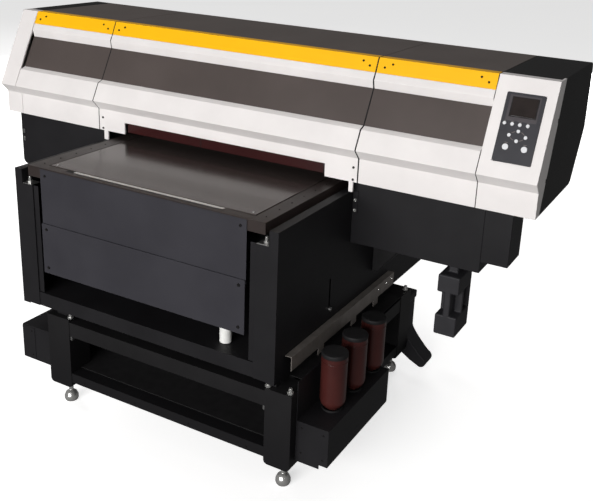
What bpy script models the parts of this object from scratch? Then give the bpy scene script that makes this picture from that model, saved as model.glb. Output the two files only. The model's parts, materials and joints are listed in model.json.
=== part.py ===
"""Flatbed UV printer: a fixed print gantry over a table that lifts and feeds front to back.

Frame: metres, +Z up, +X along the gantry (right seen from the front), -Y is the front.
The origin is on the floor, in the middle of the machine's footprint.
"""
import math

import bmesh
import bpy
from mathutils import Matrix, Vector

# Whole machine
WIDTH = 2.200
DEPTH = 1.306
HEIGHT = 1.320
TOUCH = 0.0003                 # air between two pieces that touch
OVER = 0.010                   # how far a cutter or a welded end reaches past a face
SEAM = 0.001                   # half of the gap between two neighbouring covers
SHEET = 0.0025                 # folded sheet steel
SKIN = 0.003                   # gantry skins
MOULDING = 0.008               # front cover mouldings with their ribs

# Gantry, along X
END_CAP_X = -1.020
LEFT_SEAM_X = -0.611
RIGHT_SEAM_X = 0.506
MODULE_SEAM_X = 0.911

# Gantry, in section (Y, Z)
HINGE_YZ = (-0.059, HEIGHT)
STRIP_FRONT_YZ = (-0.094, HEIGHT)
STRIP_BOTTOM_YZ = (-0.115, 1.273)
BROW_YZ = (-0.128, 1.250)
WINDOW_TOP_YZ = (-0.122, 1.222)
WINDOW_BOTTOM_YZ = (-0.181, 1.108)
STEP_YZ = (-0.203, 1.099)
NOSE_YZ = (-0.236, 1.035)
CHIN_YZ = (-0.204, 1.001)
GANTRY_BOTTOM_Z = 0.917
REAR_Y = 0.354
REAR_ROUND = 0.020
REAR_KNEE_Z = 1.093
REAR_FOOT_YZ = (0.238, 0.925)
WINDOW_THICKNESS = 0.003
STRIP_THICKNESS = 0.0025

# Front cover's cut-out over the table
CUTOUT_X = (-0.484, 0.381)
CUTOUT_TOP_Z = 0.962
TAB_BOTTOM_Z = 0.8815
TAB_X = ((-0.587, -0.567), (0.473, 0.489))

# Shield behind the front cover's cut-out
SHIELD_X = (-0.475, 0.372)
SHIELD_Z = (0.925, 0.990)
SHIELD_THICKNESS = 0.002

# White band on each end, and the black end cover's floor
BAND_TOP_YZ = (-0.025, HEIGHT)
BAND_BOTTOM_YZ = (-0.163, GANTRY_BOTTOM_Z)
FLOOR_REAR_YZ = (REAR_FOOT_YZ[0] - 0.020, GANTRY_BOTTOM_Z)

# Control panel on the slanted face, in the panel's own plane (right, up from its middle)
PANEL_X = (0.949, 1.068)
PANEL_SLOPE = (0.0515, 0.2675)
PANEL_POCKET = 0.005
PANEL_PROUD = 0.003
KEY_RADIUS = 0.0055
LARGE_KEY_RADIUS = 0.0095
KEY_CLEARANCE = 0.0005
KEY_TRAVEL = 0.0015
KEYS = {
    "key_function_1": (0.107, 0.453, KEY_RADIUS),
    "key_function_2": (0.307, 0.453, KEY_RADIUS),
    "key_function_3": (0.504, 0.453, KEY_RADIUS),
    "key_function_4": (0.707, 0.453, KEY_RADIUS),
    "key_up": (0.506, 0.544, KEY_RADIUS),
    "key_left": (0.293, 0.612, KEY_RADIUS),
    "key_right": (0.721, 0.618, KEY_RADIUS),
    "key_down": (0.510, 0.685, KEY_RADIUS),
    "key_cancel": (0.268, 0.785, LARGE_KEY_RADIUS),
    "key_enter": (0.754, 0.785, LARGE_KEY_RADIUS),
}

# Gantry's inside
BEAM_X = (-0.980, 0.890)
BEAM_Y = (0.100, 0.190)
BEAM_Z = (1.000, 1.160)
BEAM_WALL = 0.006
UPRIGHT_X = ((-0.780, -0.680), (0.600, 0.700))
UPRIGHT_BOTTOM_Z = 0.700
RAIL_X = (-0.960, 0.880)
RAIL_Z = (1.060, 1.085)
RAIL_DEPTH = 0.012
CARRIAGE_X = (0.560, 0.860)
CARRIAGE_Y = (-0.100, 0.080)
CARRIAGE_Z = (0.935, 1.160)
CARRIAGE_WALL = 0.005
CARRIAGE_FLOOR = 0.020

# Lower covers under the gantry's two ends
LOWER_Y = (-0.176, 0.200)
LOWER_Z = (0.692, 0.9165)
LOWER_LEFT_X = -1.064
LOWER_RIGHT_X = 0.938
LOWER_END_X = 1.027
LOWER_END_BACK_Y = -0.047
LOWER_END_BOTTOM_Z = 0.731

# Block and bracket under the right-hand lower cover
BLOCK_X = (0.808, 0.883)
BLOCK_Y = (-0.188, -0.062)
BLOCK_Z = (0.448, 0.662)
WAIST_Z = (0.520, 0.600)
WAIST_DEPTH = 0.026
WAIST_FRONT_Y = -0.138
WAIST_REAR_Y = (-0.126, -0.076)
NECK_X = (0.829, 0.862)
NECK_Y = (-0.150, -0.100)
MOUNT_X = (0.500, 0.615)
MOUNT_Y = (0.020, 0.140)
MOUNT_Z = (0.512, 0.655)

# Table housing
HOUSING_LEFT_X = -0.582
HOUSING_RIGHT_X = 0.478
HOUSING_TOP_Z = 0.880
HOUSING_BOTTOM_Z = 0.3755
WALL_WIDTH = 0.0315
WALL_LIP = 0.060
FRONT_Y = -DEPTH / 2
FLANGE_WIDTH = 0.079
FLANGE_TOP_Z = 0.829
RETURN_DEPTH = 0.008
STRIP_WIDTH = 0.0205
PAN_TOP_Z = 0.431
PAN_BOTTOM_Z = 0.379
PANEL_BAY_X = (-0.473, 0.3625)
LOWER_PANEL_Y = (-0.650, -0.6475)
LOWER_PANEL_Z = (0.515, 0.699)
UPPER_PANEL_Y = (-0.6445, -0.642)
UPPER_PANEL_Z = (0.684, 0.893)
REAR_PANEL_INSET = (0.0035, 0.006)
WALL_SLOT_Y = (-0.3135, -0.3005)
WALL_SLOT_Z = (0.505, 0.605)
SIDE_RAIL_X = (HOUSING_RIGHT_X + TOUCH, 0.503)
SIDE_RAIL_Y = (-0.593, 0.179)
SIDE_RAIL_Z = (0.405, 0.454)
SIDE_RAIL_TAB_Y = (-0.400, -0.160, 0.020)
SIDE_RAIL_TAB_HALF = 0.020
SIDE_RAIL_TAB_Z = 0.380
POST_CENTRE = (0.251, -0.585)
POST_RADIUS = 0.020
POST_TOP_Z = 0.515

# Lift and table
RIM_X = (-0.531, 0.426)
RIM_REAR_Y = 0.640
RIM_TOP_Z = 0.896
RIM_SKIRT_Z = 0.858
WELL_X = (-0.469, 0.370)
WELL_FRONT_Y = -0.606
DECK_Z = (0.858, 0.861)
FEED_SLOT_HALF = 0.016
FEED_SLOT_Y = (-0.560, 0.600)
TABLE_X = (-0.465, 0.366)
TABLE_Y = (-0.602, 0.018)
TABLE_Z = (0.881, 0.8965)
FEED_X = (-0.299, 0.200)
FEED_RAIL_HALF = 0.014
FEED_RAIL_Y = (-0.590, 0.590)
FEED_RAIL_Z = (0.746, 0.766)
LIFT_FRAME_Z = (0.700, 0.7457)
LIFT_FRAME_X = (-0.400, 0.300)
LIFT_FRAME_Y = (-0.600, 0.600)
LIFT_TUBE = 0.060
LIFT_SHELF = 0.070             # inner ledge under each feed rail
LIFT_BAY_Y = ((-0.540, -0.030), (0.030, 0.540))
LIFT_POST = 0.030
LIFT_POST_INSET = 0.004
TABLE_CARRIAGE_Y = (-0.480, -0.120)
TABLE_CARRIAGE_MARGIN = 0.020
TABLE_CARRIAGE_LIFT = 0.004
LEG_HALF = 0.010
SHOE_HALF = 0.025
SHOE_HEIGHT = 0.030

# Base frame
LEG_LEFT_X = (-0.472, -0.371)
LEG_RIGHT_X = (0.444, 0.540)
LEG_FRONT_Y = (-0.6505, -0.5535)
LEG_REAR_Y = (0.183, 0.280)
LEG_Z = (0.083, 0.356)
UPPER_BEAM_Z = (0.292, 0.346)
UPPER_BEAM_DEPTH = 0.060
LOWER_BEAM_Z = (0.106, 0.1425)
LOWER_BEAM_DEPTH = 0.093
SIDE_BEAM_SHARE = 0.9          # a side beam's width as a share of a front beam's
BEAM_INSET = 0.002
PAD_HALF = 0.025
FOOT_CENTRES = {
    "levelling_foot_front_left": (-0.421, -0.605),
    "levelling_foot_front_right": (0.494, -0.605),
    "levelling_foot_rear_left": (-0.421, 0.232),
    "levelling_foot_rear_right": (0.494, 0.232),
}
FOOT_RADIUS = 0.025

# Rear stabiliser, in X and Z; its angles are in degrees
STABILISER_HEAD = [
    (0.440, 0.095),
    (0.440, 0.318),
    (0.536, 0.318),
    (0.536, 0.290),
    (0.530, 0.283),
]
STABILISER_SOLE = [(0.555, 0.040), (0.505, 0.072)]
STABILISER_REAR_Y = 0.360
ARM_TOP = (0.530, 0.165)
ARM_RUN = (0.007, -0.050)
ARM_CURVE = (0.066, -0.045)
TOE_CENTRE = (0.602, 0.042)
TOE_RADIUS = 0.023
TOE_START = 50
TOE_END = -100

# Ink supply and boxes at the sides
TRAY_X = (0.5403, 0.656)
TRAY_Y = (-0.616, -0.172)
TRAY_Z = (0.124, 0.255)
TRAY_BACK_Z = 0.392
BOTTLE_X = 0.600
BOTTLE_Y = (-0.490, -0.348, -0.204)
BOTTLE_RADIUS = 0.0425
BOTTLE_BODY_Z = (0.290, 0.458)
NECK_RADIUS = 0.017
NECK_BOTTOM_Z = 0.236
SOCKET_ROOM = 0.002
SOCKET_Z = (0.200, 0.300)
TRAY_TOP = 0.012
BOX_X = (-0.617, -0.4723)
BOX_Y = (-0.636, -0.300)
BOX_Z = (0.132, 0.268)

ROUND_STEPS = 32
PARTS_NAME = "flatbed_uv_printer"
CUTTERS_NAME = "cutters"


def clear_scene():
    """Removes every object of the open file."""
    for item in list(bpy.data.objects):
        bpy.data.objects.remove(item, do_unlink=True)


def collection(name):
    """Returns the collection of that name, linked to the scene."""
    found = bpy.data.collections.get(name)
    if found is None:
        found = bpy.data.collections.new(name)
        bpy.context.scene.collection.children.link(found)
    return found


def mesh_object(name, bm, group=PARTS_NAME):
    """Makes an object from a bmesh, with its faces pointing out."""
    bmesh.ops.recalc_face_normals(bm, faces=bm.faces)
    if bm.calc_volume(signed=True) < 0.0:
        bmesh.ops.reverse_faces(bm, faces=bm.faces)
    mesh = bpy.data.meshes.new(name)
    bm.to_mesh(mesh)
    bm.free()
    item = bpy.data.objects.new(name, mesh)
    collection(group).objects.link(item)
    return item


def box(name, x_span, y_span, z_span, group=PARTS_NAME):
    """Makes a box between the two ends of each span."""
    size = Vector((x_span[1] - x_span[0], y_span[1] - y_span[0], z_span[1] - z_span[0]))
    middle = Vector((sum(x_span), sum(y_span), sum(z_span))) / 2
    bm = bmesh.new()
    place = Matrix.Translation(middle) @ Matrix.Diagonal(size).to_4x4()
    bmesh.ops.create_cube(bm, size=1.0, matrix=place)
    return mesh_object(name, bm, group)


def cylinder(name, centre, radius, z_span, group=PARTS_NAME, steps=ROUND_STEPS):
    """Makes an upright cylinder."""
    bm = bmesh.new()
    place = Matrix.Translation((centre[0], centre[1], sum(z_span) / 2))
    bmesh.ops.create_cone(
        bm,
        cap_ends=True,
        segments=steps,
        radius1=radius,
        radius2=radius,
        depth=z_span[1] - z_span[0],
        matrix=place,
    )
    return mesh_object(name, bm, group)


def prism(name, outline, span, to_world, group=PARTS_NAME):
    """Extrudes a flat closed outline along its own third axis, then turns it into place."""
    curve = bpy.data.curves.new(name, "CURVE")
    curve.dimensions = "2D"
    curve.fill_mode = "BOTH"
    curve.extrude = (span[1] - span[0]) / 2
    spline = curve.splines.new("POLY")
    spline.points.add(len(outline) - 1)
    for point, (first, second) in zip(spline.points, outline):
        point.co = (first, second, 0.0, 1.0)
    spline.use_cyclic_u = True
    guide = bpy.data.objects.new(name + "_outline", curve)
    collection(group).objects.link(guide)
    depsgraph = bpy.context.evaluated_depsgraph_get()
    mesh = bpy.data.meshes.new_from_object(guide.evaluated_get(depsgraph))
    bpy.data.objects.remove(guide, do_unlink=True)
    bm = bmesh.new()
    bm.from_mesh(mesh)
    bpy.data.meshes.remove(mesh)
    bmesh.ops.remove_doubles(bm, verts=bm.verts, dist=0.00001)
    bm.transform(to_world @ Matrix.Translation((0.0, 0.0, sum(span) / 2)))
    return mesh_object(name, bm, group)


# A (Y, Z) outline runs along X, and an (X, Z) outline runs along Y.
ALONG_X = Matrix(((0, 0, 1, 0), (1, 0, 0, 0), (0, 1, 0, 0), (0, 0, 0, 1)))
ALONG_Y = Matrix(((1, 0, 0, 0), (0, 0, 1, 0), (0, 1, 0, 0), (0, 0, 0, 1)))


def turned(name, profile, centre, steps=ROUND_STEPS):
    """Turns a profile of (radius, height) points, top to bottom, about an upright axis."""
    bm = bmesh.new()
    points = [bm.verts.new((radius, 0.0, height)) for radius, height in profile]
    for first, second in zip(points, points[1:]):
        bm.edges.new((first, second))
    mesh = bpy.data.meshes.new(name)
    bm.to_mesh(mesh)
    bm.free()
    item = bpy.data.objects.new(name, mesh)
    collection(PARTS_NAME).objects.link(item)
    item.location = (centre[0], centre[1], 0.0)
    screw = item.modifiers.new("turn", "SCREW")
    screw.steps = steps
    screw.render_steps = steps
    screw.use_merge_vertices = True
    screw.merge_threshold = 0.0001
    return item


def combine(item, other, operation):
    """Adds or cuts away another object with an exact boolean."""
    for group in list(other.users_collection):
        group.objects.unlink(other)
    collection(CUTTERS_NAME).objects.link(other)
    other.hide_render = True
    other.display_type = "WIRE"
    modifier = item.modifiers.new(operation.lower(), "BOOLEAN")
    modifier.operation = operation
    modifier.solver = "EXACT"
    modifier.object = other
    return item


def join(item, other):
    """Welds another solid to this one."""
    return combine(item, other, "UNION")


def cut(item, other):
    """Cuts another solid out of this one."""
    return combine(item, other, "DIFFERENCE")


def join_box(item, x_span, y_span, z_span):
    """Welds a box to a piece."""
    return join(item, box(item.name + "_add", x_span, y_span, z_span))


def cut_box(item, x_span, y_span, z_span):
    """Cuts a box out of a piece."""
    return cut(item, box(item.name + "_cut", x_span, y_span, z_span))


def set_origin(item, point):
    """Moves a piece's origin to a point on its joint's axis; the piece stays in place."""
    item.data.transform(Matrix.Translation(-Vector(point)))
    item.location = point
    return item


def paint(item, red, green, blue, roughness, metallic=0.0):
    """Gives a piece its own material."""
    material = bpy.data.materials.new(item.name)
    material.use_nodes = True
    shader = material.node_tree.nodes["Principled BSDF"]
    shader.inputs["Base Color"].default_value = (red, green, blue, 1.0)
    shader.inputs["Roughness"].default_value = roughness
    shader.inputs["Metallic"].default_value = metallic
    item.data.materials.append(material)
    return item


def paint_white(item):
    """Pale cover plastic."""
    return paint(item, 0.75, 0.71, 0.69, 0.45)


def paint_black(item):
    """Dark powder-coated steel and moulded black."""
    return paint(item, 0.022, 0.022, 0.024, 0.55)


def paint_steel(item):
    """Bright steel."""
    return paint(item, 0.60, 0.60, 0.60, 0.25, 1.0)


def offset_line(points, distance):
    """Moves an open polyline to its left by a distance, with mitred corners."""
    moved = []
    count = len(points)
    for index in range(count):
        before = Vector(points[max(index - 1, 0)])
        here = Vector(points[index])
        after = Vector(points[min(index + 1, count - 1)])
        first = (here - before) if index > 0 else (after - here)
        second = (after - here) if index < count - 1 else (here - before)
        normal_1 = Vector((-first.y, first.x)).normalized()
        normal_2 = Vector((-second.y, second.x)).normalized()
        middle = (normal_1 + normal_2).normalized()
        moved.append(tuple(here + middle * distance / middle.dot(normal_1)))
    return moved


def sheet_outline(points, thickness):
    """Closes an open polyline into a sheet's outline, thickened to its left."""
    return list(points) + list(reversed(offset_line(points, thickness)))


def toward(start, end, distance):
    """Returns the point at a distance from start on the line to end."""
    line = Vector(end) - Vector(start)
    return tuple(Vector(start) + line.normalized() * distance)


def recessed(start, end, depth):
    """Returns the two ends of a line moved inward, to its left, by a depth."""
    return offset_line([start, end], depth)


def cover_shell(name, x_span):
    """Front cover moulding: brow, window recess, slanted belly, nose and chin."""
    top = recessed(HINGE_YZ, STRIP_FRONT_YZ, STRIP_THICKNESS + TOUCH)
    face = recessed(STRIP_FRONT_YZ, STRIP_BOTTOM_YZ, STRIP_THICKNESS + TOUCH)
    bend = (face[0][0] + TOUCH, top[1][1])
    window = recessed(WINDOW_TOP_YZ, WINDOW_BOTTOM_YZ, WINDOW_THICKNESS + TOUCH)
    outer = [
        top[0],
        bend,
        face[1],
        STRIP_BOTTOM_YZ,
        BROW_YZ,
        WINDOW_TOP_YZ,
        window[0],
        window[1],
        WINDOW_BOTTOM_YZ,
        STEP_YZ,
        NOSE_YZ,
        CHIN_YZ,
        (CHIN_YZ[0], GANTRY_BOTTOM_Z),
    ]
    spine = [
        top[0],
        bend,
        STRIP_BOTTOM_YZ,
        WINDOW_TOP_YZ,
        WINDOW_BOTTOM_YZ,
        NOSE_YZ,
        CHIN_YZ,
        (CHIN_YZ[0], GANTRY_BOTTOM_Z),
    ]
    inner = offset_line(spine, MOULDING)
    item = prism(name, outer + list(reversed(inner)), x_span, ALONG_X)
    return paint_white(item)


def cover_window(name, x_span):
    """Dark tinted window lying in the cover's recess."""
    low = toward(WINDOW_BOTTOM_YZ, WINDOW_TOP_YZ, TOUCH)
    high = toward(WINDOW_TOP_YZ, WINDOW_BOTTOM_YZ, TOUCH)
    item = prism(name, sheet_outline([high, low], WINDOW_THICKNESS), x_span, ALONG_X)
    return paint(item, 0.075, 0.060, 0.055, 0.25)


def cover_strip(name, x_span):
    """Yellow edge strip that wraps the cover's top corner."""
    bottom = toward(STRIP_BOTTOM_YZ, STRIP_FRONT_YZ, TOUCH)
    line = [HINGE_YZ, STRIP_FRONT_YZ, bottom]
    item = prism(name, sheet_outline(line, STRIP_THICKNESS), x_span, ALONG_X)
    return paint(item, 0.95, 0.50, 0.005, 0.40)


def add_cover(prefix, x_span):
    """Builds one lifting cover: shell, window and strip, on the hinge line."""
    span = (x_span[0] + SEAM, x_span[1] - SEAM)
    hinge = (sum(span) / 2, HINGE_YZ[0], HINGE_YZ[1])
    shell = cover_shell(prefix + "_cover_shell", span)
    window = cover_window(prefix + "_cover_window", span)
    strip = cover_strip(prefix + "_cover_strip", span)
    for piece in (shell, window, strip):
        set_origin(piece, hinge)
    return shell


def add_front_covers():
    """The three lifting covers and the shield behind the middle one."""
    add_cover("left", (END_CAP_X, LEFT_SEAM_X))
    middle = add_cover("front", (LEFT_SEAM_X, RIGHT_SEAM_X))
    add_cover("right", (RIGHT_SEAM_X, MODULE_SEAM_X))
    back = CHIN_YZ[0] + MOULDING
    cutout_y = (CHIN_YZ[0] - OVER, back + OVER)
    cut_box(middle, CUTOUT_X, cutout_y, (GANTRY_BOTTOM_Z - OVER, CUTOUT_TOP_Z))
    for span in TAB_X:
        join_box(middle, span, (CHIN_YZ[0], back), (TAB_BOTTOM_Z, GANTRY_BOTTOM_Z + OVER))
    shield_y = (back + TOUCH, back + TOUCH + SHIELD_THICKNESS)
    shield = box("uv_shield", SHIELD_X, shield_y, SHIELD_Z)
    set_origin(shield, (sum(SHIELD_X) / 2, HINGE_YZ[0], HINGE_YZ[1]))
    paint(shield, 0.045, 0.010, 0.012, 0.20)


def rear_line(start_y):
    """Roof, rounded rear corner, back, chamfer and bottom lip, from the roof's front edge."""
    corner = Vector((REAR_Y - REAR_ROUND, HEIGHT - REAR_ROUND))
    steps = 6
    arc = []
    for index in range(steps + 1):
        angle = math.pi / 2 * (1 - index / steps)
        spoke = Vector((math.cos(angle), math.sin(angle))) * REAR_ROUND
        arc.append(tuple(corner + spoke))
    return [(start_y, HEIGHT)] + arc + [(REAR_Y, REAR_KNEE_Z), REAR_FOOT_YZ]


def add_rear_covers():
    """Roof and back skins behind the lifting covers."""
    spans = {
        "rear_cover_left": (END_CAP_X, LEFT_SEAM_X),
        "rear_cover_middle": (LEFT_SEAM_X, RIGHT_SEAM_X),
        "rear_cover_right": (RIGHT_SEAM_X, MODULE_SEAM_X),
    }
    line = rear_line(HINGE_YZ[0] + SEAM) + [(LOWER_Y[1] + TOUCH, REAR_FOOT_YZ[1])]
    outline = sheet_outline(list(reversed(line)), SKIN)
    for name, (low, high) in spans.items():
        item = prism(name, outline, (low + SEAM, high - SEAM), ALONG_X)
        paint(item, 0.040, 0.032, 0.030, 0.55)


def end_face_line():
    """Front line of an end module: top edge, one flat slanted face, nose and chin."""
    return [HINGE_YZ, STRIP_FRONT_YZ, NOSE_YZ, CHIN_YZ, (CHIN_YZ[0], GANTRY_BOTTOM_Z)]


def add_end_face(name, x_span, side_x):
    """White end moulding: slanted face and the band that it turns round the side."""
    section = end_face_line() + [BAND_BOTTOM_YZ, BAND_TOP_YZ]
    face = prism(name, section, x_span, ALONG_X)
    inner = offset_line(end_face_line(), MOULDING)
    beyond = 0.050
    above = HEIGHT + beyond
    below = GANTRY_BOTTOM_Z - beyond
    top_edge = [(inner[0][0], above), (inner[0][0], inner[0][1])]
    hollow = top_edge + inner[1:] + [(inner[-1][0], below), (beyond, below), (beyond, above)]
    open_x = x_span[0] - beyond if side_x > 0 else x_span[1] + beyond
    closed_x = side_x - math.copysign(MOULDING, side_x)
    cut(face, prism(name + "_hollow", hollow, sorted((open_x, closed_x)), ALONG_X))
    return paint_white(face)


def add_side_cover(name, x_span, side_x):
    """Black end cover: side plate, roof, back, chamfer and floor behind the white moulding."""
    gap = MOULDING + TOUCH
    front_top = (HINGE_YZ[0] + SEAM, HEIGHT)
    floor_front = (CHIN_YZ[0] + gap, GANTRY_BOTTOM_Z)
    line = rear_line(front_top[0]) + [FLOOR_REAR_YZ, floor_front]
    outward = math.copysign(1, side_x)
    inner_x = x_span[0] if outward > 0 else x_span[1]
    ring_span = sorted((inner_x, side_x - outward * gap))
    ring = prism(name, sheet_outline(list(reversed(line)), SKIN), ring_span, ALONG_X)
    plate_line = [
        (BAND_TOP_YZ[0] + TOUCH, HEIGHT),
        (BAND_BOTTOM_YZ[0] + TOUCH, GANTRY_BOTTOM_Z),
        FLOOR_REAR_YZ,
    ] + list(reversed(rear_line(BAND_TOP_YZ[0] + TOUCH)))[:-1]
    plate_span = sorted((side_x, side_x - outward * (gap + SKIN)))
    join(ring, prism(name + "_plate", plate_line, plate_span, ALONG_X))
    return paint_black(ring)


def add_gantry_ends():
    """The white end mouldings and the black covers behind them."""
    half = WIDTH / 2
    module_span = (MODULE_SEAM_X + SEAM, half)
    cap_span = (-half, END_CAP_X - SEAM)
    module = add_end_face("control_module", module_span, half)
    add_end_face("left_end_cap", cap_span, -half)
    add_side_cover("side_cover_right", module_span, half)
    add_side_cover("side_cover_left", cap_span, -half)
    return module


def panel_matrix():
    """Plane of the slanted face: X right, Y up the slope, Z out, at the panel's middle."""
    top = Vector((0.0, STRIP_FRONT_YZ[0], STRIP_FRONT_YZ[1]))
    nose = Vector((0.0, NOSE_YZ[0], NOSE_YZ[1]))
    up = (top - nose).normalized()
    right = Vector((1.0, 0.0, 0.0))
    out = right.cross(up)
    middle = top - up * sum(PANEL_SLOPE) / 2
    middle.x = sum(PANEL_X) / 2
    turn = Matrix((right, up, out)).transposed().to_4x4()
    return Matrix.Translation(middle) @ turn


def add_control_panel(module):
    """Bezel in its pocket, and its ten keys, on one empty that lies on the slanted face."""
    width = PANEL_X[1] - PANEL_X[0]
    height = PANEL_SLOPE[1] - PANEL_SLOPE[0]
    plane = bpy.data.objects.new("control_panel_plane", None)
    collection(PARTS_NAME).objects.link(plane)
    plane.matrix_world = panel_matrix()
    half_x = width / 2
    half_y = height / 2
    pocket = box(
        "pocket",
        (-half_x - TOUCH, half_x + TOUCH),
        (-half_y - TOUCH, half_y + TOUCH),
        (-PANEL_POCKET - TOUCH, 0.02),
    )
    pocket.parent = plane
    cut(module, pocket)
    bezel = box("control_bezel", (-half_x, half_x), (-half_y, half_y), (-PANEL_POCKET, PANEL_PROUD))
    bezel.parent = plane
    paint(bezel, 0.035, 0.034, 0.042, 0.40)
    floor = -PANEL_POCKET + KEY_TRAVEL + 0.0005
    for name, (across, down, radius) in KEYS.items():
        centre = ((across - 0.5) * width, (0.5 - down) * height)
        hole = cylinder(name + "_hole", centre, radius + KEY_CLEARANCE, (-0.02, 0.02))
        hole.parent = plane
        cut(bezel, hole)
        key = cylinder(name, (0.0, 0.0), radius, (floor, PANEL_PROUD + 0.002), steps=24)
        key.parent = plane
        key.location = (centre[0], centre[1], 0.0)
        paint(key, 0.70, 0.70, 0.71, 0.35)


def add_gantry_frame():
    """Welded beam on two uprights, with the linear rail on its front face."""
    beam = box("gantry_beam", BEAM_X, BEAM_Y, BEAM_Z)
    for span in UPRIGHT_X:
        join_box(beam, span, BEAM_Y, (UPRIGHT_BOTTOM_Z, BEAM_Z[0] + OVER))
    rail_y = (BEAM_Y[0] - RAIL_DEPTH, BEAM_Y[0] + BEAM_WALL / 2)
    join_box(beam, RAIL_X, rail_y, RAIL_Z)
    wall_y = (BEAM_Y[0] + BEAM_WALL, BEAM_Y[1] - BEAM_WALL)
    wall_z = (BEAM_Z[0] + BEAM_WALL, BEAM_Z[1] - BEAM_WALL)
    cut_box(beam, (BEAM_X[0] - OVER, BEAM_X[1] + OVER), wall_y, wall_z)
    paint(beam, 0.30, 0.31, 0.32, 0.45, 0.6)


def add_print_carriage():
    """Open-topped carriage box that carries the print heads and lamps along the rail."""
    item = box("print_carriage", CARRIAGE_X, CARRIAGE_Y, CARRIAGE_Z)
    inside_x = (CARRIAGE_X[0] + CARRIAGE_WALL, CARRIAGE_X[1] - CARRIAGE_WALL)
    inside_y = (CARRIAGE_Y[0] + CARRIAGE_WALL, CARRIAGE_Y[1] - CARRIAGE_WALL)
    cut_box(item, inside_x, inside_y, (CARRIAGE_Z[0] + CARRIAGE_FLOOR, CARRIAGE_Z[1] + OVER))
    paint_black(item)


def open_top_box(name, x_span, y_span, z_span):
    """Folded cover, open at its top."""
    item = box(name, x_span, y_span, z_span)
    inside_x = (x_span[0] + SKIN, x_span[1] - SKIN)
    inside_y = (y_span[0] + SKIN, y_span[1] - SKIN)
    cut_box(item, inside_x, inside_y, (z_span[0] + SKIN, z_span[1] + OVER))
    return paint_black(item)


def add_lower_covers():
    """Black covers under the gantry, either side of the table housing."""
    left_span = (LOWER_LEFT_X, HOUSING_LEFT_X - TOUCH)
    right_span = (HOUSING_RIGHT_X + TOUCH, LOWER_RIGHT_X - TOUCH)
    end_span = (LOWER_RIGHT_X, LOWER_END_X)
    open_top_box("lower_cover_left", left_span, LOWER_Y, LOWER_Z)
    open_top_box("lower_cover_right", right_span, LOWER_Y, LOWER_Z)
    end_z = (LOWER_END_BOTTOM_Z, LOWER_Z[1])
    open_top_box("lower_cover_end", end_span, (LOWER_Y[0], LOWER_END_BACK_Y), end_z)


def add_support_block():
    """Moulded block with a waist, hung under the right-hand lower cover."""
    item = box("support_block", BLOCK_X, BLOCK_Y, BLOCK_Z)
    for low, high in (
        (BLOCK_X[0] - OVER, BLOCK_X[0] + WAIST_DEPTH),
        (BLOCK_X[1] - WAIST_DEPTH, BLOCK_X[1] + OVER),
    ):
        cut_box(item, (low, high), (BLOCK_Y[0] - OVER, WAIST_FRONT_Y), WAIST_Z)
        cut_box(item, (low, high), WAIST_REAR_Y, WAIST_Z)
    join_box(item, NECK_X, NECK_Y, (BLOCK_Z[1] - OVER, LOWER_Z[0] - TOUCH))
    paint_black(item)


def add_gantry_mount():
    """Gusset bracket between the housing wall and the right-hand lower cover."""
    inner = HOUSING_RIGHT_X + TOUCH
    top = LOWER_Z[0] - TOUCH
    outline = [
        (MOUNT_X[1], top),
        (MOUNT_X[1], MOUNT_Z[1]),
        (MOUNT_X[0], MOUNT_Z[0]),
        (inner, MOUNT_Z[0]),
        (inner, top),
    ]
    item = prism("gantry_mount", outline, MOUNT_Y, ALONG_Y)
    paint_black(item)


def add_housing_wall(name, side):
    """One folded housing wall with its front flange, return and inner strip; side is 1 or -1."""
    outer = HOUSING_RIGHT_X if side > 0 else HOUSING_LEFT_X
    inner = outer - side * WALL_WIDTH
    skin = outer - side * SHEET
    lip = inner + side * SHEET
    outline = [
        (outer, HOUSING_BOTTOM_Z),
        (outer, HOUSING_TOP_Z),
        (inner, HOUSING_TOP_Z),
        (inner, HOUSING_TOP_Z - WALL_LIP),
        (lip, HOUSING_TOP_Z - WALL_LIP),
        (lip, HOUSING_TOP_Z - SHEET),
        (skin, HOUSING_TOP_Z - SHEET),
        (skin, HOUSING_BOTTOM_Z),
    ]
    y_span = (FRONT_Y, -FRONT_Y)
    wall = prism(name, outline, y_span, ALONG_Y)
    front_y = (FRONT_Y, FRONT_Y + SHEET)
    flange = outer - side * FLANGE_WIDTH
    join_box(wall, sorted((outer, inner)), front_y, (HOUSING_BOTTOM_Z, HOUSING_TOP_Z))
    join_box(wall, sorted((inner + side * 0.005, flange)), front_y, (PAN_BOTTOM_Z, FLANGE_TOP_Z))
    back_y = (FRONT_Y, FRONT_Y + RETURN_DEPTH)
    flange_z = (PAN_TOP_Z + 0.002, FLANGE_TOP_Z)
    join_box(wall, sorted((flange, flange + side * SHEET)), back_y, flange_z)
    strip_y = (back_y[1] - SHEET, back_y[1])
    strip_end = flange - side * STRIP_WIDTH
    join_box(wall, sorted((flange + side * SHEET, strip_end)), strip_y, flange_z)
    return paint_black(wall)


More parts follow.
